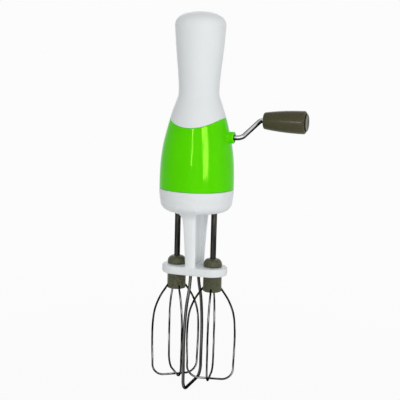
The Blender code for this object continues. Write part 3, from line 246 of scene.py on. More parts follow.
def skin(
    name: str, grid: Array, loop_rows: bool = False, loop_columns: bool = False,
    ends: Ends = Ends.NONE, drawn: Array | None = None, crease: float = CREASE,
) -> Piece:
    """Make a closed mesh from a grid of points worked out over two parameters.

    Args:
        name: The piece's name.
        grid: The points as (rows, columns, 3).
        loop_rows: Whether the last row joins the first.
        loop_columns: Whether the last column joins the first.
        ends: Which open ends get a face.
        drawn: A vector for each point that a finish can follow, as the grid is.
        crease: The angle in degrees over which an edge is sharp.

    Returns:
        The piece, with its faces outwards and its poles welded.
    """
    rows, columns = grid.shape[:2]
    points = grid.reshape(-1, 3)
    _, first, number = np.unique(
        np.round(points, WELD_DIGITS) + 0.0, axis=0, return_index=True, return_inverse=True,
    )
    index = number.reshape(rows, columns)
    if loop_rows:
        index = np.vstack([index, index[:1]])
    if loop_columns:
        index = np.hstack([index, index[:, :1]])
    corners = (index[:-1, :-1], index[:-1, 1:], index[1:, 1:], index[1:, :-1])
    quads = np.stack(corners, axis=-1).reshape(-1, 4)
    distinct = quads != np.roll(quads, -1, axis=1)
    count = distinct.sum(axis=1)
    faces = quads[count == 4].tolist()
    faces += quads[count == 3][distinct[count == 3]].reshape(-1, 3).tolist()
    if ends is Ends.ROWS:
        faces += [index[0, :columns][::-1].tolist(), index[-1, :columns].tolist()]
    elif ends is Ends.COLUMNS:
        faces += [index[:rows, 0].tolist(), index[:rows, -1][::-1].tolist()]
    welded = points[first]
    mesh = bpy.data.meshes.new(name)
    mesh.from_pydata(welded.tolist(), [], faces)
    if signed_volume(welded, faces) < 0:
        mesh.flip_normals()
    if drawn is not None:
        layer = mesh.attributes.new("drawn", "FLOAT_VECTOR", "POINT")
        layer.data.foreach_set("vector", drawn.reshape(-1, 3)[first].ravel())
    piece = bpy.data.objects.new(name, mesh)
    bpy.context.scene.collection.objects.link(piece)
    return smoothed(piece, crease)


def smoothed(piece: Piece, crease: float = CREASE) -> Piece:
    """Shade a piece smooth, with edges sharper than the crease angle left sharp."""
    mesh = piece.data
    mesh.polygons.foreach_set("use_smooth", np.ones(len(mesh.polygons), dtype=bool))
    mesh.set_sharp_from_angle(angle=math.radians(crease))
    return piece


def turned(
    name: str, profile: Array, steps: int, axis: Axis = Axis.Z,
    centre: Sequence[float] = (0.0, 0.0, 0.0), crease: float = CREASE,
) -> Piece:
    """Turn a profile about an axis: radius times (cosine, sine) across, and the distance along.

    Args:
        name: The piece's name.
        profile: (radius, distance along the axis) points. A profile whose ends are on the axis
            is closed by its poles, and any other is taken as a ring.
        steps: Steps round the axis.
        axis: Which way the axis points.
        centre: A point on the axis, from which the profile's distances count.
        crease: The angle in degrees over which an edge is sharp.

    Returns:
        The turned piece.
    """
    angle = np.linspace(0.0, FULL_TURN, steps, endpoint=False)
    radius, along = profile[:, 0, None], profile[:, 1, None]
    cosine, sine, height = np.broadcast_arrays(np.cos(angle), np.sin(angle), along)
    grid = np.stack([radius * cosine, radius * sine, height], axis=-1)
    grid = grid[..., list(axis.value)] + np.array(centre)
    ring = profile[0, 0] > 0 or profile[-1, 0] > 0
    drawn = np.stack([cosine, sine, height], axis=-1)
    return skin(name, grid, loop_rows=ring, loop_columns=True, drawn=drawn, crease=crease)


def tube(name: str, route: Array, normal: Array, radius: float, sides: int) -> Piece:
    """Carry a circle along a flat route: the route plus radius times (cosine, sine) across it.

    Args:
        name: The piece's name.
        route: The route's points, all in one plane.
        normal: That plane's normal.
        radius: The circle's radius.
        sides: Steps round the circle.

    Returns:
        The tube, with its ends closed.
    """
    heading = unit(np.gradient(route, axis=0))
    across = np.cross(heading, normal)
    angle = np.linspace(0.0, FULL_TURN, sides, endpoint=False)
    cosine, sine = np.cos(angle)[:, None], np.sin(angle)[:, None]
    grid = route[:, None] + radius * (cosine * normal + sine * across[:, None])
    lengths = np.linalg.norm(np.diff(route, axis=0), axis=1)
    along = np.concatenate([[0.0], np.cumsum(lengths)])[:, None, None]
    drawn = np.concatenate(np.broadcast_arrays(cosine[None], sine[None], along), axis=-1)
    return skin(name, grid, loop_columns=True, ends=Ends.ROWS, drawn=drawn)


def drilled(piece: Piece, cutters: Sequence[Piece], crease: float = CREASE) -> Piece:
    """Cut pieces out of another and keep the result as its mesh.

    Args:
        piece: The piece to cut.
        cutters: What to cut out of it; they are deleted.
        crease: The angle in degrees over which an edge is sharp.

    Returns:
        The piece.
    """
    for cutter in cutters:
        cut = piece.modifiers.new("drill", "BOOLEAN")
        cut.operation = "DIFFERENCE"
        cut.solver = "EXACT"
        cut.object = cutter
    bpy.context.view_layer.update()
    graph = bpy.context.evaluated_depsgraph_get()
    before, after = piece.data, bpy.data.meshes.new_from_object(piece.evaluated_get(graph))
    piece.modifiers.clear()
    piece.data = after
    bpy.data.meshes.remove(before)
    for cutter in cutters:
        bpy.data.objects.remove(cutter)
    return smoothed(piece, crease)


def flanged_bush(
    name: str, radii: Sequence[float], along: Sequence[float], rounds: Array,
    axis: Axis = Axis.Z, centre: Sequence[float] = (0.0, 0.0, 0.0),
) -> Piece:
    """Build a bush with a flange at one end.

    Args:
        name: The piece's name.
        radii: Its hole's radius, its outside's and its flange's.
        along: Along the axis, its plain end, its flange's face and its flanged end.
        rounds: The edge radii, from the hole at the plain end round to the hole again.
        axis: Which way the axis points.
        centre: A point on the axis.

    Returns:
        The bush.
    """
    (hole, outside, flange), (end, face, back) = radii, along
    corners = np.array([
        (hole, end), (outside, end), (outside, face), (flange, face), (flange, back), (hole, back),
    ])
    return turned(name, rounded(corners, rounds, 3), BORE_STEPS, axis, centre)


def rod_cutter(
    radius: float, start: float, end: float, axis: Axis = Axis.Z,
    centre: Sequence[float] = (0.0, 0.0, 0.0),
) -> Piece:
    """Return a plain round cutter between two distances along an axis."""
    corners = np.array([(0.0, start), (radius, start), (radius, end), (0.0, end)])
    return turned("cutter", corners, BORE_STEPS, axis, centre)


# ---------------------------------------------------------------- finishes


class Nodes:
    """A node tree, built node by node."""

    def __init__(self, tree: bpy.types.NodeTree) -> None:
        """Start on a tree."""
        self.tree = tree

    def add(self, kind: str, **settings: object) -> bpy.types.Node:
        """Add a node and set its properties."""
        node = self.tree.nodes.new(kind)
        for key, value in settings.items():
            setattr(node, key, value)
        return node

    def feed(self, socket: Socket, value: object) -> None:
        """Link an output to a socket, or set the socket where the value is plain."""
        if isinstance(value, Socket):
            self.tree.links.new(value, socket)
        else:
            socket.default_value = value

    def maths(self, operation: str, *values: object) -> Socket:
        """Return the result of a sum on values or outputs."""
        node = self.add("ShaderNodeMath", operation=operation)
        for socket, value in zip(node.inputs, values):
            self.feed(socket, value)
        return node.outputs[0]

    def lit(self, kind: str, tint: Sequence[float], strength: float) -> Socket:
        """Return a plain light of that kind, colour and strength."""
        node = self.add(kind)
        node.inputs["Color"].default_value = colour(*tint)
        node.inputs["Strength"].default_value = strength
        return node.outputs[0]

    def mixed(self, share: Socket, first: Socket, second: Socket) -> Socket:
        """Return a mix of two shaders."""
        node = self.add("ShaderNodeMixShader")
        for socket, value in zip(node.inputs, (share, first, second)):
            self.feed(socket, value)
        return node.outputs[0]

    def shown(self) -> Socket:
        """Return one for camera, glossy and transmission rays, and nought for the others."""
        rays = self.add("ShaderNodeLightPath").outputs
        seen = self.maths("MAXIMUM", rays["Is Camera Ray"], rays["Is Glossy Ray"])
        return self.maths("MAXIMUM", seen, rays["Is Transmission Ray"])


class Sketch(Nodes):
    """A material's node tree, built round its Principled shader."""

    def __init__(self, name: str) -> None:
        """Start a material with that name."""
        self.material = bpy.data.materials.new(name)
        self.material.use_nodes = True
        super().__init__(self.material.node_tree)
        self.shader = self.tree.nodes["Principled BSDF"]
        self.place = self.add("ShaderNodeTexCoord").outputs["Object"]

    def drawn(self) -> Socket:
        """Return the vector that runs round and along a turned piece or a wire."""
        return self.add("ShaderNodeAttribute", attribute_name="drawn").outputs["Vector"]

    def pointed(self) -> Socket:
        """Return how sharply the surface bends: over a half at ridges and under it in corners."""
        return self.add("ShaderNodeNewGeometry").outputs["Pointiness"]

    def stretched(self, vector: Socket, scale: Sequence[float]) -> Socket:
        """Return a vector scaled by its own amount on each axis."""
        mapping = self.add("ShaderNodeMapping")
        self.feed(mapping.inputs["Vector"], vector)
        mapping.inputs["Scale"].default_value = scale
        return mapping.outputs["Vector"]

    def noise(
        self, vector: Socket, scale: float, detail: float = 3.0, roughness: float = 0.5,
    ) -> Socket:
        """Return a noise value over a vector."""
        node = self.add("ShaderNodeTexNoise")
        self.feed(node.inputs["Vector"], vector)
        node.inputs["Scale"].default_value = scale
        node.inputs["Detail"].default_value = detail
        node.inputs["Roughness"].default_value = roughness
        return node.outputs["Fac"]

    def ranged(
        self, value: Socket, low: float, high: float, start: float = 0.3, end: float = 0.7,
        bend: str = "LINEAR",
    ) -> Socket:
        """Return a value spread from low to high as the input goes from start to end."""
        node = self.add("ShaderNodeMapRange", interpolation_type=bend)
        self.feed(node.inputs["Value"], value)
        sockets = (node.inputs[key] for key in ("From Min", "From Max", "To Min", "To Max"))
        for socket, number in zip(sockets, (start, end, low, high)):
            socket.default_value = number
        return node.outputs["Result"]

    def blend(self, share: object, first: object, second: object) -> Socket:
        """Return a mix of two colours, by the sockets that a Mix node keeps for colours."""
        node = self.add("ShaderNodeMix", data_type="RGBA")
        self.feed(node.inputs[0], share)
        self.feed(node.inputs[6], first)
        self.feed(node.inputs[7], second)
        return node.outputs[2]

    def bump(self, height: Socket, depth: float, under: Socket | None = None) -> Socket:
        """Return a normal bent by a height in metres, over another where one is given."""
        node = self.add("ShaderNodeBump")
        node.inputs["Strength"].default_value = 1.0
        node.inputs["Distance"].default_value = depth
        self.feed(node.inputs["Height"], height)
        if under is not None:
            self.feed(node.inputs["Normal"], under)
        return node.outputs["Normal"]


def colour(red: float, green: float, blue: float) -> tuple[float, float, float, float]:
    """Return an opaque linear colour."""
    return (red, green, blue, 1.0)


def shaded(tint: Sequence[float], share: float) -> tuple[float, float, float, float]:
    """Return a colour made darker or lighter by a share."""
    return colour(*(min(channel * share, 1.0) for channel in tint[:3]))


@dataclass(frozen=True)
class MouldedPlastic:
    """Injection-moulded plastic: a cloudy tint, flow waves, orange peel, ridges lightened as wear
    and painted highlight, and painted shade in its corners.

    Attributes:
        tint: Its linear colour.
        roughness: Its mean roughness.
        gloss_tint: The colour of its reflections seen straight on.
        specular: The Principled shader's specular level.
        drift: How far the tint strays either way.
        mottle: How dark its fine mottling is.
        mottle_size: The mottling's grains a metre.
        wave_depth: How deep the flow waves are in metres.
        peel_size: The orange peel's grains a metre.
        peel_depth: The orange peel's depth in metres.
        edge_wear_and_highlight: How much lighter the ridges are, as rubbed wear and painted
            highlight.
        corner_shade: How much darker the corners are painted, as painted shade.
        cloud_size: The tint's clouds a metre.
        speckle: The noise values between which the mottling sets in.
        ridges: The pointiness between which a ridge is lightened.
        corners: The pointiness between which the painted corner shade fades out.
        corner_shade_tint: The share of the tint that is left in the painted corner shade.
        scuff_size: The scuffs a metre.
        scuff_run: The share of that along the height, in which they are drawn out.
        scuff_gloss: The roughness between the scuffs and in them, as shares of the mean.
        wave_size: The flow waves a metre.
    """

    tint: tuple[float, float, float]
    roughness: float
    gloss_tint: tuple[float, float, float] = (1.0, 1.0, 1.0)
    specular: float = 0.3
    drift: float = 0.03
    mottle: float = 0.05
    mottle_size: float = 1400.0
    wave_depth: float = 0.03 * MM
    peel_size: float = 900.0
    peel_depth: float = 0.004 * MM
    edge_wear_and_highlight: float = 0.10
    corner_shade: float = 0.30
    cloud_size: float = 45.0
    speckle: tuple[float, float] = (0.42, 0.68)
    ridges: tuple[float, float] = (0.51, 0.58)
    corners: tuple[float, float] = (0.455, 0.492)
    corner_shade_tint: float = 0.35
    scuff_size: float = 160.0
    scuff_run: float = 0.25
    scuff_gloss: tuple[float, float] = (0.85, 1.2)
    wave_size: float = 48.0

    def material(self, name: str) -> bpy.types.Material:
        """Return the finished material under a name."""
        sketch = Sketch(name)
        shader = sketch.shader
        cloud = sketch.noise(sketch.place, self.cloud_size, 4.0)
        speck = sketch.noise(sketch.place, self.mottle_size, 2.0)
        body = sketch.blend(
            sketch.ranged(cloud, 0.0, 1.0), shaded(self.tint, 1 - self.drift),
            shaded(self.tint, 1 + self.drift),
        )
        mottled = sketch.blend(
            sketch.ranged(speck, 0.0, 1.0, *self.speckle), body,
            shaded(self.tint, 1 - self.mottle),
        )
        bend = sketch.pointed()
        # Ridges lightened: partly rubbed wear, partly painted highlight.
        worn_and_lit = sketch.blend(
            sketch.ranged(bend, 0.0, 1.0, *self.ridges), mottled,
            shaded(self.tint, 1 + self.edge_wear_and_highlight),
        )
        # Painted shade: corners, where the surface bends inwards, are darkened.
        corner_shaded = sketch.blend(
            sketch.ranged(bend, self.corner_shade, 0.0, *self.corners), worn_and_lit,
            shaded(self.tint, self.corner_shade_tint),
        )
        sketch.feed(shader.inputs["Base Color"], corner_shaded)
        run = sketch.stretched(sketch.place, (1.0, 1.0, self.scuff_run))
        scuffs = sketch.noise(run, self.scuff_size, 3.0)
        low, high = (self.roughness * share for share in self.scuff_gloss)
        sketch.feed(shader.inputs["Roughness"], sketch.ranged(scuffs, low, high))
        wave = sketch.noise(sketch.place, self.wave_size, 0.0)
        peel = sketch.noise(sketch.place, self.peel_size, 2.0)
        waves = sketch.bump(wave, self.wave_depth)
        sketch.feed(shader.inputs["Normal"], sketch.bump(peel, self.peel_depth, waves))
        shader.inputs["Specular IOR Level"].default_value = self.specular
        shader.inputs["Specular Tint"].default_value = colour(*self.gloss_tint)
        return sketch.material


@dataclass(frozen=True)
class DrawnSteel:
    """Drawn or turned steel: light and dark streaks along its length, painted as reflections, and
    fine die lines.

    Attributes:
        dark: The linear colour in the streaks.
        light: The linear colour between them.
        edge: The colour that its reflections take at grazing angles.
        roughness: Its mean roughness.
        streaks: How many streaks there are round the piece, roughly.
        streak_length: The streaks' length in metres.
        streak_share: The noise values between which a streak fades out.
        line_depth: The die lines' depth in metres.
        shade_bands: How dark the two bands of painted shade are along opposite sides.
        band_angle: Where round the piece those bands are, in degrees.
        follows: Whether the streaks follow the piece's own length, or its height.
        height_scale: What its place is scaled by where they follow its height.
        fine_lines: How many finer, shorter lines there are round the piece, roughly.
        fine_dark: How dark those are.
        fine_share: The noise values between which they set in.
        spot_size: The spots of tarnish a metre.
        spot_dark: How dark those are, and the share of the dark colour in them.
        spot_share: The noise values between which they set in.
        line_gloss: The roughness between the fine lines and in them, as shares of the mean.
        die_lines: How many die lines there are round the piece, roughly.
        band_rag: How far the fine lines fray the bands' edges.
        band_share: The product's size between which a band sets in.
    """

    dark: tuple[float, float, float]
    light: tuple[float, float, float]
    edge: tuple[float, float, float]
    roughness: float
    streaks: float = 3.0
    streak_length: float = 40 * MM
    streak_share: tuple[float, float] = (0.38, 0.62)
    line_depth: float = 0.003 * MM
    shade_bands: float = 0.0
    band_angle: float = 0.0
    follows: bool = True
    height_scale: tuple[float, float, float] = (200.0, 200.0, 1.0)
    fine_lines: float = 9.0
    fine_dark: float = 0.5
    fine_share: tuple[float, float] = (0.45, 0.75)
    spot_size: float = 320.0
    spot_dark: tuple[float, float] = (0.3, 0.8)
    spot_share: tuple[float, float] = (0.55, 0.8)
    line_gloss: tuple[float, float] = (0.8, 1.3)
    die_lines: float = 22.0
    band_rag: float = 0.3
    band_share: tuple[float, float] = (0.56, 0.78)

    def material(self, name: str) -> bpy.types.Material:
        """Return the finished material under a name."""
        sketch = Sketch(name)
        shader = sketch.shader
        source = (
            sketch.drawn() if self.follows else sketch.stretched(sketch.place, self.height_scale)
        )
        run = sketch.stretched(source, (1.0, 1.0, 1 / self.streak_length))
        broad = sketch.noise(run, self.streaks / 2, 3.0, 0.6)
        short = sketch.stretched(source, (1.0, 1.0, 3 / self.streak_length))
        fine = sketch.noise(short, self.fine_lines, 2.0)
        spots = sketch.noise(sketch.place, self.spot_size, 3.0)
        # Painted reflection: light and dark streaks along the length.
        base = sketch.blend(
            sketch.ranged(broad, 0.0, 1.0, *self.streak_share), colour(*self.dark),
            colour(*self.light),
        )
        lined = sketch.blend(
            sketch.ranged(fine, 0.0, self.fine_dark, *self.fine_share), base, colour(*self.dark),
        )
        spot_dark, spot_tint = self.spot_dark
        spotted = sketch.blend(
            sketch.ranged(spots, 0.0, spot_dark, *self.spot_share), lined,
            shaded(self.dark, spot_tint),
        )
        # Painted shade: two dark bands along opposite sides.
        if self.shade_bands:
            spotted = self.shade_banded(sketch, source, fine, spotted)
        sketch.feed(shader.inputs["Base Color"], spotted)
        low, high = (self.roughness * share for share in self.line_gloss)
        sketch.feed(shader.inputs["Roughness"], sketch.ranged(fine, low, high))
        lines = sketch.noise(run, self.die_lines, 2.0)
        sketch.feed(shader.inputs["Normal"], sketch.bump(lines, self.line_depth))
        shader.inputs["Metallic"].default_value = 1.0
        shader.inputs["Specular Tint"].default_value = colour(*self.edge)
        return sketch.material

    def shade_banded(
        self, sketch: Sketch, source: Socket, fine: Socket, under: Socket,
    ) -> Socket:
        """Paint shade as two dark bands along opposite sides of a rod.

        A band is dark where the size of the product of the direction round the rod and the
        band's direction, with a little of the fine lines added, is high.

        Args:
            sketch: The material's nodes.
            source: The vector that runs round and along the rod.
            fine: The fine die lines.
            under: The colour under the bands.

        Returns:
            The banded colour.
        """
        angle = math.radians(self.band_angle)
        product = sketch.add("ShaderNodeVectorMath", operation="DOT_PRODUCT")
        sketch.feed(product.inputs[0], source)
        product.inputs[1].default_value = (math.cos(angle), math.sin(angle), 0.0)
        size = sketch.maths("ABSOLUTE", product.outputs["Value"])
        ragged = sketch.maths("MULTIPLY_ADD", fine, self.band_rag, size)
        share = sketch.ranged(ragged, 0.0, self.shade_bands, *self.band_share)
        return sketch.blend(share, under, colour(*self.dark))


class FinishShelf:
    """Every finish on the beater, each made once."""

    def __init__(self) -> None:
        """Make the materials."""
        wire_grey = (0.08, 0.08, 0.075)
        recipes = {
            # Painted light in the mouldings: ridges lightened as wear and painted highlight,
            # corners darkened as painted shade.
            Finish.WHITE: MouldedPlastic(
                (0.76, 0.79, 0.80), 0.36, specular=0.08, drift=0.015, mottle=0.015, edge_wear_and_highlight=0.02,
                corner_shade=0.35,
            ),
            # The green sleeve's rims and seams are lightened strongly, as painted highlight.
            Finish.GREEN: MouldedPlastic(
                (0.092, 0.69, 0.001), 0.10, gloss_tint=(0.75, 1.0, 0.12), specular=0.08,
                drift=0.04, mottle=0.02, wave_depth=0.6 * MM, peel_depth=0.002 * MM,
                edge_wear_and_highlight=0.35, corner_shade=0.5,
            ),
            Finish.KNOB: MouldedPlastic(
                (0.072, 0.066, 0.034), 0.26, specular=0.11, drift=0.12, mottle=0.25,
                peel_size=1500.0, peel_depth=0.008 * MM, edge_wear_and_highlight=0.35, corner_shade=0.85,
            ),
            Finish.COLLAR: MouldedPlastic(
                (0.092, 0.095, 0.052), 0.36, specular=0.2, drift=0.22, mottle=0.45,
                mottle_size=700.0, peel_size=700.0, peel_depth=0.05 * MM, edge_wear_and_highlight=0.25, corner_shade=0.8,
            ),
            Finish.GREY: MouldedPlastic((0.35, 0.36, 0.37), 0.5),
            Finish.NYLON: MouldedPlastic((0.72, 0.70, 0.62), 0.45),
            Finish.ACETAL: MouldedPlastic((0.55, 0.55, 0.52), 0.4),
            Finish.SHAFT: DrawnSteel(
                (0.022, 0.021, 0.018), (0.085, 0.082, 0.072), (0.05, 0.05, 0.045), 0.32,
                streaks=5.0, streak_share=(0.45, 0.62),
            ),
            # Painted glints: a few light streaks on dark wire.
            Finish.BEATER_WIRE: DrawnSteel(
                (0.006, 0.006, 0.005), (0.65, 0.65, 0.64), (0.04, 0.04, 0.04), 0.28,
                streaks=2.4, streak_length=22 * MM, streak_share=(0.53, 0.63),
            ),
            # Painted shade: dark bands along the wire's two sides.
            Finish.REST_WIRE: DrawnSteel(
                (0.02, 0.02, 0.018), (0.17, 0.17, 0.16), wire_grey, 0.3, streaks=2.4,
                shade_bands=0.9,
            ),
            # Painted shade: dark bands along two opposite sides of the rod; its light streaks are
            # painted reflection.
            Finish.CHROME: DrawnSteel(
                (0.02, 0.02, 0.02), (0.66, 0.67, 0.68), (0.3, 0.3, 0.3), 0.16,
                streaks=2.0, streak_share=(0.1, 0.5), line_depth=0.001 * MM, shade_bands=0.97,
                band_angle=122.0,
            ),
            Finish.BRIGHT: DrawnSteel(
                (0.38, 0.38, 0.37), (0.58, 0.58, 0.57), (0.4, 0.4, 0.4), 0.28, follows=False,
            ),
            Finish.ZINC: DrawnSteel(
                (0.40, 0.41, 0.42), (0.62, 0.63, 0.64), (0.4, 0.4, 0.4), 0.34,
            ),
        }
        self.materials = {
            kind: recipe.material(kind.value[0]) for kind, recipe in recipes.items()
        }

    def finish(self, piece: Piece, kind: Finish) -> None:
        """Give a piece that finish in each of its material slots."""
        material = self.materials[kind]
        if not piece.data.materials:
            piece.data.materials.append(material)
        for holder in piece.material_slots:
            holder.material = material


# ---------------------------------------------------------------- the beater


@dataclass
class SubAssembly:
    """What each sub-assembly does with a finished piece.

    Attributes:
        shelf: The finishes.
    """

    shelf: FinishShelf

    def fit(self, piece: Piece, kind: Finish, body: Body, *nodes: str) -> Piece:
        """Finish a piece, set it on its body and say which nodes it stands for.

        Args:
            piece: The piece, in its place.
            kind: Its finish.
            body: The body that it moves with.
            nodes: The CAD nodes that it stands for.

        Returns:
            The piece.
        """
        self.shelf.finish(piece, kind)
        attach(piece, body.value)
        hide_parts(*nodes)
        log.info(
            "%s: %s on %s, %d faces", piece.name, kind.value[0], body.value,
            len(piece.data.polygons),
        )
        return piece


@dataclass(frozen=True)
class BottleOutline:
    """The turned outline that the grip and the sleeve share, and the seam between them.

    Attributes:
        stations: (height, radius) up to the shoulder.
        shoulder: Where the domed top starts.
        top: The highest point.
        fullness: The power of the dome's superellipse.
        seam_side: The seam's height at its two sides.
        seam_dip: How far it dips at the front and the rear.
    """

    stations: Array = field(default_factory=lambda: mm(
        (166.3, 30.6), (178.0, 30.5), (190.0, 29.9), (202.0, 28.4), (212.0, 26.3), (223.0, 23.45),
        (231.0, 20.95), (238.0, 18.5), (243.0, 16.75), (250.0, 16.45), (262.0, 17.3),
        (280.0, 19.2), (299.0, 20.6),
    ))
    shoulder: float = 299.0 * MM
    top: float = 310.2 * MM
    fullness: float = 2.2
    seam_side: float = 225.8 * MM
    seam_dip: float = 7.4 * MM

    def radius(self, height: Array) -> Array:
        """Return the radius at each height up to the shoulder, read through the stations."""
        return through_stations(self.stations, height)

    def radius_at(self, height: float) -> float:
        """Return the radius at one height."""
        return float(self.radius(np.array([height]))[0])

    def dome(self, steps: int, shrink: float = 0.0) -> Array:
        """Return the domed top from its pole to the shoulder.

        A superellipse: the radius goes with the sine and the height with the cosine of an angle,
        each to the power of two over the fullness.

        Args:
            steps: Steps from the pole to the shoulder.
            shrink: How far inside the outer surface it lies.

        Returns:
            (radius, height) points.
        """
        lean = np.linspace(0.0, math.pi / 2, steps + 1)
        power = 2 / self.fullness
        reach = (self.stations[-1, 1] - shrink) * np.sin(lean) ** power
        rise = (self.top - self.shoulder - shrink) * np.clip(np.cos(lean), 0.0, 1.0) ** power
        return np.column_stack([reach, self.shoulder + rise])

    def seam(self, angle: Array) -> Array:
        """Return the seam's height: its side height less the dip times the squared sine."""
        return self.seam_side - self.seam_dip * np.sin(angle) ** 2


@dataclass(frozen=True)
class CrossScrew:
    """A pan-head screw with a cross recess.

    Attributes:
        head_radius: The head's radius.
        head_height: The head's height.
        head_rim: The share of its height that is its upright rim.
        head_dome: The power by which its dome is fuller than a quarter circle.
        shank_radius: The thread's outer radius.
        thread_depth: The thread's depth.
        pitch: The distance between the thread's ridges.
        recess_reach: How far the cross reaches from the middle.
        recess_half: Half the width of the cross's arms.
        recess_depth: The cross's depth.
        recess_taper: How wide the cross is above the head and at its floor.
    """

    head_radius: float = 2.5 * MM
    head_height: float = 1.8 * MM
    head_rim: float = 0.35
    head_dome: float = 0.75
    shank_radius: float = 1.3 * MM
    thread_depth: float = 0.3 * MM
    pitch: float = 1.1 * MM
    recess_reach: float = 1.45 * MM
    recess_half: float = 0.36 * MM
    recess_depth: float = 1.1 * MM
    recess_taper: tuple[float, float] = (1.25, 0.6)

    def profile(self, length: float) -> Array:
        """Return the screw's profile: a domed head, a ridged shank and a point.

        Args:
            length: From the head's underside to the point.

        Returns:
            (radius, distance) points, with the head at negative distances.
        """
        lean = np.linspace(0.0, math.pi / 2, 14)
        rise = self.head_rim + (1 - self.head_rim) * np.cos(lean)
        head = np.column_stack([
            self.head_radius * np.sin(lean) ** self.head_dome, -self.head_height * rise,
        ])
        ridges = int(length / self.pitch)
        along = np.linspace(0.0, length, 2 * ridges + 1)
        depth = np.where(np.arange(len(along)) % 2 == 0, self.thread_depth, 0.0)
        point = np.clip((length - along) / (2 * self.shank_radius), 0.0, 1.0)
        shank = np.column_stack([(self.shank_radius - depth) * point, along])
        return np.vstack([head, [(self.head_radius, 0.0)], shank])

    def build(
        self, name: str, place: Sequence[float], axis: Axis, heading: int, length: float,
    ) -> Piece:
        """Build the screw with its head's underside at a place.

        Args:
            name: The piece's name.
            place: The middle of the head's underside.
            axis: The axis that it lies along.
            heading: 1 where its point is towards +axis, -1 where it is the other way.
            length: From the head's underside to the point.

        Returns:
            The screw.
        """
        profile = self.profile(length) * (1.0, heading)
        screw = turned(name, profile, ROD_STEPS, axis, place)
        reach, half = self.recess_reach, self.recess_half
        arms = np.array([
            (reach, -half), (reach, half), (half, half), (half, reach), (-half, reach),
            (-half, half), (-reach, half), (-reach, -half), (-half, -half), (-half, -reach),
            (half, -reach), (half, -half),
        ])
        ends = np.array([-1.5 * self.head_height, self.recess_depth - self.head_height])
        depths = ends * heading
        outline = arms[None] * np.array(self.recess_taper)[:, None, None]
        along = np.broadcast_to(depths[:, None, None], (*outline.shape[:2], 1))
        grid = np.concatenate([outline, along], axis=-1)[..., list(axis.value)] + np.array(place)
        cross = skin("cross_recess", grid, loop_columns=True, ends=Ends.ROWS)
        return drilled(screw, [cross])


